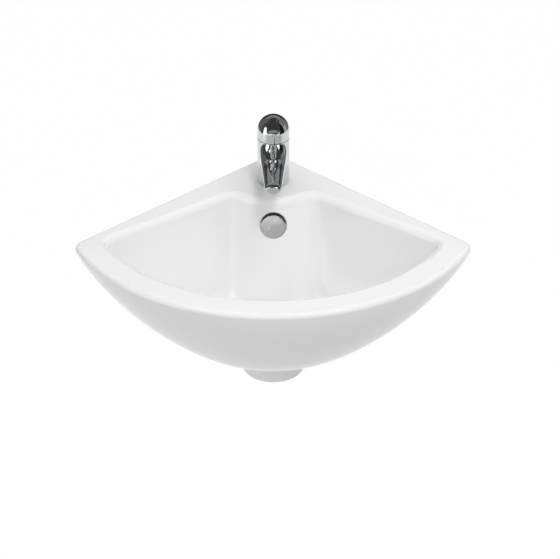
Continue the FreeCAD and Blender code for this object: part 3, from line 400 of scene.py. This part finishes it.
def two_tones(tree, factor, first, second):
    """Two colours mixed by a factor."""
    mix = add(tree, "Mix", data_type="RGBA")
    sockets = {s.identifier: s for s in mix.inputs}
    for name, value in (("Factor_Float", factor), ("A_Color", first), ("B_Color", second)):
        if isinstance(value, bpy.types.NodeSocket):
            tree.links.new(value, sockets[name])
        elif isinstance(value, float):
            sockets[name].default_value = value
        else:
            sockets[name].default_value = (*value, 1.0)
    return next(s for s in mix.outputs if s.identifier == "Result_Color")


def tint(tree, shader, factor, first, second):
    """The shader's colour wanders between two colours by a factor."""
    tree.links.new(two_tones(tree, factor, first, second), shader.inputs["Base Color"])


def dull(tree, shader, factor, low, high):
    """The shader's roughness wanders between two values by soft noise."""
    tree.links.new(remap(tree, factor, NOISE_LOW, NOISE_HIGH, low, high), shader.inputs["Roughness"])


def sums(tree, operation, first, second=0.0):
    """One arithmetic step on values or outputs."""
    return add(tree, "Math", {0: first, 1: second}, operation=operation).outputs[0]


def shade(colour, share):
    """A colour made darker or lighter by a share."""
    return tuple(min(1.0, c * share) for c in colour)


def relief(tree, shader, height, depth):
    """Fine relief on the surface, that deep in metres."""
    bump = add(tree, "Bump", {"Height": height, "Distance": depth, "Strength": 1.0})
    tree.links.new(bump.outputs["Normal"], shader.inputs["Normal"])


# Finishes


def white_glaze(china):
    """Glossy glaze over vitreous china, left bare where the basin meets the walls."""
    material, tree, shader = finish_tree("white_glaze")
    place = place_of(tree)
    axes = add(tree, "SeparateXYZ", {"Vector": place}).outputs
    off_wall = sums(tree, "ADD", sums(tree, "ABSOLUTE", axes["X"]), axes["Y"])
    bare = remap(tree, off_wall, -0.0012, -0.0004, 0.0, 1.0)
    thickness = cloud(tree, place, width=0.09, detail=2.0)
    speck = cloud(tree, place, width=0.0011, detail=2.0)
    glaze = two_tones(tree, thickness, shade(china.glaze, 0.985), shade(china.glaze, 1.012))
    clay = two_tones(tree, speck, shade(china.clay, 0.86), shade(china.clay, 1.1))
    tint(tree, shader, bare, glaze, clay)
    film = cloud(tree, place, width=0.035, detail=4.0)
    gloss = remap(tree, film, NOISE_LOW, NOISE_HIGH, china.roughness * 0.8, china.roughness * 1.3)
    rough = add(tree, "Mix", {0: bare, 2: gloss, 3: 0.85}, data_type="FLOAT").outputs[0]
    tree.links.new(rough, shader.inputs["Roughness"])
    waves = cloud(tree, place, width=china.ripple, detail=1.5)
    grain = sums(tree, "MULTIPLY", speck, bare)
    relief(tree, shader, sums(tree, "ADD", waves, grain), depth=0.00003)
    shader.inputs["IOR"].default_value = 1.52
    return material


def chrome_plate(name, metal, blur=1.0):
    """Chrome plating with faint wiping marks, more satin the more it is blurred."""
    material, tree, shader = finish_tree(name)
    place = place_of(tree)
    smear = cloud(tree, place, width=0.012, detail=3.0)
    tint(tree, shader, smear, shade(metal.chrome, 0.96), shade(metal.chrome, 1.04))
    roughness = metal.chrome_roughness * blur
    gloss = remap(tree, smear, 0.35, 0.7, roughness * 0.7, roughness * 1.6)
    tree.links.new(gloss, shader.inputs["Roughness"])
    relief(tree, shader, cloud(tree, place, width=0.006, detail=1.0), depth=0.000004)
    shader.inputs["Metallic"].default_value = 1.0
    return material


def threaded_metal(name, colour, axis, pitch, top, foot):
    """Metal with a cut screw thread between two levels about an upright axis."""
    material, tree, shader = finish_tree(name)
    place = place_of(tree)
    axes = add(tree, "SeparateXYZ", {"Vector": place}).outputs
    across = sums(tree, "SUBTRACT", axes["X"], axis.x)
    along = sums(tree, "SUBTRACT", axes["Y"], axis.y)
    turn = sums(tree, "DIVIDE", sums(tree, "ARCTAN2", along, across), math.tau)
    climb = sums(tree, "ADD", sums(tree, "DIVIDE", axes["Z"], pitch), turn)
    tooth = sums(tree, "PINGPONG", climb, 0.5)
    below = remap(tree, axes["Z"], top, top - pitch, 0.0, 1.0)
    above = remap(tree, axes["Z"], foot, foot + pitch, 0.0, 1.0)
    cut = sums(tree, "MULTIPLY", sums(tree, "MULTIPLY", tooth, below), above)
    wear = cloud(tree, place, width=0.004, detail=3.0)
    tint(tree, shader, wear, shade(colour, 0.82), shade(colour, 1.0))
    dull(tree, shader, wear, 0.12, 0.3)
    relief(tree, shader, cut, pitch * 0.9)
    shader.inputs["Metallic"].default_value = 1.0
    return material


def turned_metal(name, colour, axis, feed=0.00035):
    """Metal off the lathe, with its fine feed rings about an upright axis."""
    material, tree, shader = finish_tree(name)
    place = place_of(tree)
    moved = add(tree, "Mapping", {"Vector": place, "Location": (-axis.x, -axis.y, 0.0)}).outputs["Vector"]
    axes = add(tree, "SeparateXYZ", {"Vector": moved}).outputs
    flat = add(tree, "CombineXYZ", {"X": axes["X"], "Y": axes["Y"], "Z": 0.0}).outputs["Vector"]
    out = add(tree, "VectorMath", {0: flat}, operation="LENGTH").outputs["Value"]
    feed_line = sums(tree, "SINE", sums(tree, "DIVIDE", sums(tree, "ADD", out, axes["Z"]), feed))
    tarnish = cloud(tree, place, width=0.006, detail=5.0)
    tint(tree, shader, tarnish, shade(colour, 0.78), shade(colour, 1.08))
    dull(tree, shader, tarnish, 0.2, 0.38)
    relief(tree, shader, feed_line, depth=0.00002)
    shader.inputs["Metallic"].default_value = 1.0
    return material


def brushed_steel(metal):
    """Plated steel with a fine drawn grain and a dull zinc bloom."""
    material, tree, shader = finish_tree("brushed_steel")
    place = place_of(tree)
    drawn = add(tree, "Mapping", {"Vector": place, "Scale": (1.0, 1.0, 0.06)}).outputs["Vector"]
    grain = cloud(tree, drawn, width=0.0004, detail=4.0)
    bloom = cloud(tree, place, width=0.005, detail=4.0)
    tint(tree, shader, bloom, shade(metal.steel, 0.8), shade(metal.steel, 1.12))
    dull(tree, shader, grain, 0.24, 0.42)
    relief(tree, shader, grain, depth=0.00002)
    shader.inputs["Metallic"].default_value = 1.0
    return material


def seal_rubber(soft):
    """Moulded black rubber with a dry, dusty surface."""
    material, tree, shader = finish_tree("seal_rubber")
    place = place_of(tree)
    dust = cloud(tree, place, width=0.003, detail=5.0)
    tint(tree, shader, remap(tree, dust, 0.45, 0.8, 0.0, 1.0), soft.rubber, shade(soft.rubber, 1.9))
    dull(tree, shader, dust, 0.55, 0.75)
    relief(tree, shader, cloud(tree, place, width=0.0005, detail=3.0), depth=0.00003)
    shader.inputs["IOR"].default_value = 1.48
    return material


def moulded_plastic(name, colour):
    """Injection-moulded plastic with a fine spark-eroded texture."""
    material, tree, shader = finish_tree(name)
    place = place_of(tree)
    flow = cloud(tree, place, width=0.008, detail=2.0)
    tint(tree, shader, flow, shade(colour, 0.93), shade(colour, 1.05))
    dull(tree, shader, flow, 0.36, 0.48)
    relief(tree, shader, cloud(tree, place, width=0.0003, detail=2.0), depth=0.00001)
    shader.inputs["IOR"].default_value = 1.49
    return material


def ground_ceramic(soft):
    """Fine-ground alumina of the cartridge discs."""
    material, tree, shader = finish_tree("ground_ceramic")
    place = place_of(tree)
    speck = cloud(tree, place, width=0.0006, detail=4.0)
    tint(tree, shader, speck, shade(soft.ceramic, 0.94), shade(soft.ceramic, 1.03))
    dull(tree, shader, speck, 0.1, 0.2)
    relief(tree, shader, speck, depth=0.000004)
    return material


def skin(mesh, rings):
    """Faces between closed rings of points, one ring after the other."""
    made = [[mesh.verts.new(point) for point in ring] for ring in rings]
    for near, far in zip(made, made[1:]):
        for i in range(len(near)):
            j = (i + 1) % len(near)
            mesh.faces.new((near[i], near[j], far[j], far[i]))
    return made


def made_piece(name, mesh, material, body):
    """A smooth-shaded piece out of a built mesh, riding on its body."""
    bmesh.ops.remove_doubles(mesh, verts=mesh.verts, dist=WELD)
    bmesh.ops.recalc_face_normals(mesh, faces=mesh.faces)
    data = bpy.data.meshes.new(name)
    mesh.to_mesh(data)
    mesh.free()
    data.shade_smooth()
    data.materials.append(material)
    piece = bpy.data.objects.new(name, data)
    bpy.context.scene.collection.objects.link(piece)
    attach(piece, body)
    return piece


def facing(name):
    """Where a round cap faces, as a matrix of its right, up, outward way and middle, and its radius."""
    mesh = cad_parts[name].data
    out = max(mesh.polygons, key=lambda face: face.area).normal.copy()
    if out.y > 0:
        out.negate()
    right = Vector((1.0, 0.0, 0.0))
    up = out.cross(right)
    heights = [vertex.co.dot(up) for vertex in mesh.vertices]
    depths = [vertex.co.dot(out) for vertex in mesh.vertices]
    middle = up * (max(heights) + min(heights)) / 2 + out * max(depths)
    turn = Matrix((right, up, out)).transposed().to_4x4()
    return Matrix.Translation(middle) @ turn, (max(heights) - min(heights)) / 2


def slotted_cap(mesh, radius, metal):
    """A pressed cap about Z: a crowned face with a crescent cut from its top, its rim, and its tail."""
    slot, crown = metal.cap_slot, metal.cap_crown
    turns = [math.tau * i / CAP_SIDES for i in range(CAP_SIDES)]
    face = radius - CAP_WALL / 2

    def reach(turn):
        """How far the face goes that way, with the crescent left open at the top."""
        lowered = math.sqrt(radius ** 2 - (slot * math.cos(turn)) ** 2) - slot * math.sin(turn)
        return min(face, lowered)

    def ring(share, inset, drop):
        points = []
        for turn in turns:
            out = reach(turn) * share - inset
            swell = crown * (1 - (out / face) ** 2)
            points.append(Vector((out * math.cos(turn), out * math.sin(turn), swell - drop)))
        return points

    def hoop(out, level):
        return [Vector((out * math.cos(turn), out * math.sin(turn), level)) for turn in turns]

    quarter = [math.pi * k / (2 * CAP_ROUND_STEPS) for k in range(CAP_ROUND_STEPS + 1)]
    rounds = [(1 - math.sin(a), 1 - math.cos(a)) for a in quarter]
    top = [ring(k / CAP_RINGS, CAP_EDGE * k / CAP_RINGS, 0.0) for k in range(1, CAP_RINGS + 1)]
    edge = [ring(1.0, CAP_EDGE * inset, CAP_EDGE * drop) for inset, drop in rounds[1:]]
    foot = [[Vector((p.x, p.y, -CAP_DEPTH)) for p in edge[-1]]]
    inner = [Vector((p.x, p.y, 0.0)) * CAP_INNER for p in edge[-1]]
    under = [[p + Vector((0.0, 0.0, level)) for p in inner] for level in (-CAP_DEPTH, -2 * CAP_WALL)]
    made = skin(mesh, top + edge + foot + under)
    mesh.faces.new(made[0])
    mesh.faces.new(made[-1])
    rim = [(radius - CAP_WALL, -CAP_DEPTH), (radius, -CAP_DEPTH)]
    rim += [(radius - inward, -down) for inward, down in CAP_LIP]
    rim.append(rim[0])
    skin(mesh, [hoop(out, level) for out, level in rim])
    tail = [(CAP_TAIL - CAP_WALL, -CAP_WALL), (CAP_TAIL - CAP_WALL, -CAP_DEPTH - CAP_GRIP)]
    tail += [(CAP_TAIL, -CAP_DEPTH - CAP_GRIP), (CAP_TAIL, -CAP_WALL), tail[0]]
    skin(mesh, [hoop(out, level) for out, level in tail])


def coil_points(low, high, radius, turns):
    """The middle line of a compression spring, with its end turns closed up."""
    steps = COIL_STEPS * turns
    points = []
    for i in range(steps + 1):
        share = i / steps
        turn = share * turns
        free = turns - 2 * END_TURN
        open_turns = min(max(turn - END_TURN, 0.0), free) / free
        level = low + (high - low) * (END_CLIMB * share + (1 - END_CLIMB) * open_turns)
        angle = math.tau * turn
        points.append(Vector((radius * math.cos(angle), radius * math.sin(angle), level)))
    return points


def screw_ridge(mesh, radius, height, pitch, low, high):
    """The raised ridge of a screw thread on a rod about Z, fading out at both ends."""
    turns = (high - low) / pitch
    steps = int(COIL_STEPS * 2 * turns)
    rings = []
    for i in range(steps + 1):
        share = i / steps
        angle = math.tau * turns * share
        level = low + (high - low) * share
        fade = min(1.0, share * turns * 2, (1.0 - share) * turns * 2)
        crest = radius + height * max(fade, RIDGE_START)
        ring = []
        outline = ((radius, -RIDGE_ROOT), (crest, -RIDGE_CREST), (crest, RIDGE_CREST), (radius, RIDGE_ROOT))
        for out, rise in outline:
            ring.append(Vector((out * math.cos(angle), out * math.sin(angle), level + rise * pitch)))
        rings.append(ring)
    made = skin(mesh, rings)
    mesh.faces.new(made[0])
    mesh.faces.new(made[-1])


def wire(mesh, points, thickness):
    """A round wire along a line, with flat ends."""
    rings = []
    for i, point in enumerate(points):
        way = (points[min(i + 1, len(points) - 1)] - points[max(i - 1, 0)]).normalized()
        side = way.cross(Vector((0.0, 0.0, 1.0))).normalized()
        up = side.cross(way)
        spokes = [math.tau * k / WIRE_SIDES for k in range(WIRE_SIDES)]
        rings.append([point + (side * math.cos(a) + up * math.sin(a)) * thickness / 2 for a in spokes])
    made = skin(mesh, rings)
    mesh.faces.new(made[0])
    mesh.faces.new(made[-1])


def wear_finish(material, *names):
    """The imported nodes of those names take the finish."""
    for name in names:
        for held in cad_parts[name].material_slots:
            held.material = material


# Pieces


class BASIN_OT_china(Operator):
    """Glaze the basin"""

    bl_idname = "basin.china"
    bl_label = "Glazed Basin"

    def execute(self, context):
        wear_finish(white_glaze(context.scene.basin_china), "basin_body")
        return {"FINISHED"}


class BASIN_OT_overflow(Operator):
    """Finish the overflow's cap and grommet"""

    bl_idname = "basin.overflow"
    bl_label = "Overflow"

    def execute(self, context):
        soft = context.scene.basin_soft
        metal = context.scene.basin_metal
        place, radius = facing("overflow_cap")
        mesh = bmesh.new()
        slotted_cap(mesh, radius, metal)
        bmesh.ops.transform(mesh, matrix=place, verts=mesh.verts)
        satin = chrome_plate("satin_chrome", metal, blur=4.5)
        cap = made_piece("pressed_cap", mesh, satin, "fixed")
        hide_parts("overflow_cap")
        wear_finish(seal_rubber(soft), "overflow_grommet")
        return {"FINISHED"}


class BASIN_OT_waste(Operator):
    """Finish the waste fitting under the bowl"""

    bl_idname = "basin.waste"
    bl_label = "Waste"

    def execute(self, context):
        metal = context.scene.basin_metal
        soft = context.scene.basin_soft
        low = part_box("waste_body")[0]
        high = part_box("waste_flange_seal")[0]
        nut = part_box("waste_backnut")[0]
        thread = threaded_metal("threaded_chrome", metal.chrome, OUTLET_AXIS, TAIL_PITCH, high.z, nut.z)
        wear_finish(thread, "waste_body")
        mesh = bmesh.new()
        foot, head = low.z + TAIL_PITCH, nut.z - TAIL_PITCH
        screw_ridge(mesh, TAIL_RADIUS, TAIL_TOOTH, TAIL_PITCH, foot, head)
        bmesh.ops.translate(mesh, vec=(OUTLET_AXIS.x, OUTLET_AXIS.y, 0.0), verts=mesh.verts)
        made_piece("tail_thread", mesh, chrome_plate("tail_chrome", metal, blur=2.0), "fixed")
        wear_finish(seal_rubber(soft), "waste_flange_seal", "waste_gasket")
        wear_finish(moulded_plastic("slip_plastic", shade(soft.plastic, 1.3)), "waste_slip_washer")
        wear_finish(turned_metal("turned_brass_nut", metal.brass, OUTLET_AXIS), "waste_backnut")
        return {"FINISHED"}


class BASIN_OT_plug(Operator):
    """Finish the push plug and wind its spring"""

    bl_idname = "basin.plug"
    bl_label = "Push Plug"

    def execute(self, context):
        metal = context.scene.basin_metal
        soft = context.scene.basin_soft
        wear_finish(chrome_plate("bright_chrome", metal), "plug_cap")
        wear_finish(seal_rubber(soft), "plug_seal")
        wear_finish(turned_metal("turned_brass_spindle", metal.brass, OUTLET_AXIS), "plug_spindle")
        wear_finish(moulded_plastic("guide_plastic", soft.plastic), "plug_guide")
        low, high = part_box("plug_spring")
        radius = (high.x - low.x - metal.spring_wire) / 2
        foot, head = low.z + metal.spring_wire / 2, high.z - metal.spring_wire / 2
        mesh = bmesh.new()
        wire(mesh, coil_points(foot, head, radius, metal.spring_turns), metal.spring_wire)
        bmesh.ops.translate(mesh, vec=(OUTLET_AXIS.x, OUTLET_AXIS.y, 0.0), verts=mesh.verts)
        spring = made_piece("wound_spring", mesh, brushed_steel(metal), "fixed")
        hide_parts("plug_spring")
        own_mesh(spring)
        return {"FINISHED"}


class BASIN_OT_tap(Operator):
    """Finish the tap's body, its base and its aerator"""

    bl_idname = "basin.tap"
    bl_label = "Tap Body"

    def execute(self, context):
        metal = context.scene.basin_metal
        soft = context.scene.basin_soft
        wear_finish(chrome_plate("bright_chrome", metal), "tap_body", "aerator_housing")
        wear_finish(seal_rubber(soft), "tap_base_gasket", "tap_fixing_gasket", "aerator_washer")
        wear_finish(moulded_plastic("aerator_plastic", shade(soft.plastic, 1.2)), "aerator_insert")
        low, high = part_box("tap_stud")
        axis = Vector(((low.x + high.x) / 2, (low.y + high.y) / 2))
        thread = threaded_metal("threaded_steel", metal.steel, axis, STUD_PITCH, high.z, low.z + STUD_LEAD)
        wear_finish(thread, "tap_stud")
        brass = turned_metal("turned_brass_fixings", metal.brass, axis)
        wear_finish(brass, "tap_stud_nut", "tap_fixing_plate")
        return {"FINISHED"}


class BASIN_OT_cartridge(Operator):
    """Finish the cartridge inside the tap"""

    bl_idname = "basin.cartridge"
    bl_label = "Cartridge"

    def execute(self, context):
        metal = context.scene.basin_metal
        soft = context.scene.basin_soft
        wear_finish(seal_rubber(soft), "cartridge_seal")
        wear_finish(moulded_plastic("cartridge_plastic", soft.plastic), "cartridge_housing")
        wear_finish(moulded_plastic("carrier_plastic", shade(soft.plastic, 0.7)), "lever_carrier")
        wear_finish(ground_ceramic(soft), "fixed_disc", "moving_disc")
        wear_finish(turned_metal("turned_brass_ring", metal.brass, TAP_AXIS), "cartridge_nut", "lever_stem")
        wear_finish(brushed_steel(metal), "stem_pin")
        return {"FINISHED"}


class BASIN_OT_handle(Operator):
    """Finish the tap's collar and lever handle"""

    bl_idname = "basin.handle"
    bl_label = "Lever Handle"

    def execute(self, context):
        metal = context.scene.basin_metal
        soft = context.scene.basin_soft
        wear_finish(chrome_plate("bright_chrome", metal), "tap_collar", "tap_handle")
        wear_finish(brushed_steel(metal), "handle_screw")
        wear_finish(moulded_plastic("handle_plug_plastic", shade(soft.plastic, 0.25)), "handle_plug")
        return {"FINISHED"}


# Studio


def lamp(name, place, target, wide, tall, power):
    """A rectangular softbox at a place, facing a target.

    Polished surfaces don't see it: the screens stand for it there."""
    data = bpy.data.lights.new(name, "AREA")
    data.shape = "RECTANGLE"
    data.size = wide
    data.size_y = tall
    data.energy = power
    item = bpy.data.objects.new(name, data)
    item.location = place
    item.rotation_euler = (Vector(target) - Vector(place)).to_track_quat("-Z", "Y").to_euler()
    item.visible_glossy = False
    item.visible_camera = False
    bpy.context.scene.collection.objects.link(item)


def screen(name, turn, rise, reach, glow):
    """A curved studio screen hung round the basin, between two azimuths and two elevations in degrees.

    Only polished surfaces see it."""
    steps = max(2, math.ceil(abs(turn[1] - turn[0]) / SCREEN_STEP))
    rows = max(2, math.ceil(abs(rise[1] - rise[0]) / SCREEN_STEP))
    mesh = bmesh.new()
    grid = []
    for row in range(rows + 1):
        elevation = rise[0] + (rise[1] - rise[0]) * row / rows
        line = []
        for step in range(steps + 1):
            azimuth = turn[0] + (turn[1] - turn[0]) * step / steps
            line.append(mesh.verts.new(direction(azimuth, elevation, reach)))
        grid.append(line)
    for lower, upper in zip(grid, grid[1:]):
        for left in range(steps):
            mesh.faces.new((lower[left], lower[left + 1], upper[left + 1], upper[left]))
    data = bpy.data.meshes.new(name)
    mesh.to_mesh(data)
    mesh.free()
    item = bpy.data.objects.new(name, data)
    material = bpy.data.materials.new(name)
    material.use_nodes = True
    tree = material.node_tree
    tree.nodes.clear()
    glowing = add(tree, "Emission", {"Color": WHITE, "Strength": glow})
    output = add(tree, "OutputMaterial")
    tree.links.new(glowing.outputs[0], output.inputs["Surface"])
    data.materials.append(material)
    item.visible_camera = False
    item.visible_diffuse = False
    item.visible_shadow = False
    bpy.context.scene.collection.objects.link(item)


def direction(azimuth, elevation, distance):
    """A place round the studio's middle, at an azimuth and an elevation in degrees.

    Azimuth 0 is towards the camera and 90 to the right."""
    turn, rise = math.radians(azimuth), math.radians(elevation)
    way = Vector((math.sin(turn) * math.cos(rise), -math.cos(turn) * math.cos(rise), math.sin(rise)))
    return STUDIO_MIDDLE + way * distance


class BASIN_OT_studio(Operator):
    """Set the camera, floor, backdrop and lamps"""

    bl_idname = "basin.studio"
    bl_label = "Studio"

    def execute(self, context):
        studio = context.scene.basin_studio
        camera = bpy.data.objects.new("camera", bpy.data.cameras.new("camera"))
        camera.data.sensor_width = 36.0
        camera.data.lens = studio.focal_length
        camera.data.clip_start = 0.01
        camera.data.clip_end = 60.0
        camera.location = studio.camera_place
        camera.rotation_euler = (math.pi / 2 - studio.camera_dip, 0.0, 0.0)
        context.scene.collection.objects.link(camera)
        context.scene.camera = camera
        context.scene.view_settings.view_transform = "Standard"

        world = bpy.data.worlds.new("room")
        world.use_nodes = True
        tree = world.node_tree
        tree.nodes.clear()
        path = add(tree, "LightPath").outputs
        seen = sums(tree, "MAXIMUM", path["Is Camera Ray"], path["Is Glossy Ray"])
        seen = sums(tree, "MAXIMUM", seen, path["Is Transmission Ray"])
        room = add(tree, "Background", {"Color": WHITE, "Strength": studio.room_light})
        white = add(tree, "Background", {"Color": WHITE, "Strength": 1.0})
        mix = add(tree, "MixShader", {0: seen, 1: room.outputs[0], 2: white.outputs[0]})
        output = add(tree, "OutputWorld")
        tree.links.new(mix.outputs[0], output.inputs["Surface"])
        context.scene.world = world

        data = bpy.data.meshes.new("floor")
        low, high, drop = -FLOOR_HALF, FLOOR_HALF, -studio.floor_drop
        rim = [(low, low, drop), (high, low, drop), (high, high, drop), (low, high, drop)]
        data.from_pydata(rim, [], [(0, 1, 2, 3)])
        floor = bpy.data.objects.new("floor", data)
        context.scene.collection.objects.link(floor)
        material, tree, shader = finish_tree("pale_floor")
        mottle = cloud(tree, place_of(tree), width=0.4, detail=3.0)
        tint(tree, shader, mottle, (0.80, 0.80, 0.80), (0.84, 0.84, 0.84))
        shader.inputs["Roughness"].default_value = 0.9
        path = add(tree, "LightPath").outputs
        seen = sums(tree, "MAXIMUM", path["Is Camera Ray"], path["Is Glossy Ray"])
        white = add(tree, "Emission", {"Color": WHITE, "Strength": FLOOR_WHITE})
        share = sums(tree, "MULTIPLY", seen, FLOOR_COVER)
        mix = add(tree, "MixShader", {0: share, 1: shader.outputs[0], 2: white.outputs[0]})
        tree.links.new(mix.outputs[0], tree.nodes["Material Output"].inputs["Surface"])
        data.materials.append(material)

        for name, azimuth, elevation, away, wide, tall, share in LAMPS:
            place = direction(azimuth, elevation, away)
            lamp(name, place, LAMP_TARGET, wide, tall, studio.key_power * share)

        for name, turn, rise, reach, glow in SCREENS:
            screen(name, turn, rise, reach, glow)
        return {"FINISHED"}


class BASIN_PT_sidebar(Panel):
    """Lists the basin's pieces and settings"""

    bl_label = "Corner Basin"
    bl_idname = "BASIN_PT_sidebar"
    bl_space_type = "VIEW_3D"
    bl_region_type = "UI"
    bl_category = "Basin"

    def draw(self, context):
        layout = self.layout
        for group, steps in PANEL_ROWS:
            box = layout.box()
            settings = getattr(context.scene, group)
            for name in settings.__annotations__:
                box.prop(settings, name)
            for step in steps:
                box.operator(step.bl_idname)


PIECES = (
    BASIN_OT_china,
    BASIN_OT_overflow,
    BASIN_OT_waste,
    BASIN_OT_plug,
    BASIN_OT_tap,
    BASIN_OT_cartridge,
    BASIN_OT_handle,
)
PANEL_ROWS = (
    ("basin_china", (BASIN_OT_china,)),
    ("basin_metal", (BASIN_OT_overflow, BASIN_OT_waste, BASIN_OT_tap, BASIN_OT_handle)),
    ("basin_soft", (BASIN_OT_plug, BASIN_OT_cartridge)),
    ("basin_studio", (BASIN_OT_studio,)),
)
SETTINGS = {
    "basin_china": BASIN_PG_china,
    "basin_metal": BASIN_PG_metal,
    "basin_soft": BASIN_PG_soft,
    "basin_studio": BASIN_PG_studio,
}
CLASSES = (*SETTINGS.values(), *PIECES, BASIN_OT_studio, BASIN_PT_sidebar)


def register():
    for item in CLASSES:
        bpy.utils.register_class(item)
    for name, group in SETTINGS.items():
        setattr(bpy.types.Scene, name, PointerProperty(type=group))


def unregister():
    for name in SETTINGS:
        delattr(bpy.types.Scene, name)
    for item in reversed(CLASSES):
        bpy.utils.unregister_class(item)


def main():
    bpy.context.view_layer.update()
    register()
    for step in (*PIECES, BASIN_OT_studio):
        getattr(bpy.ops.basin, step.bl_idname.split(".")[1])()


if __name__ == "__main__":
    main()
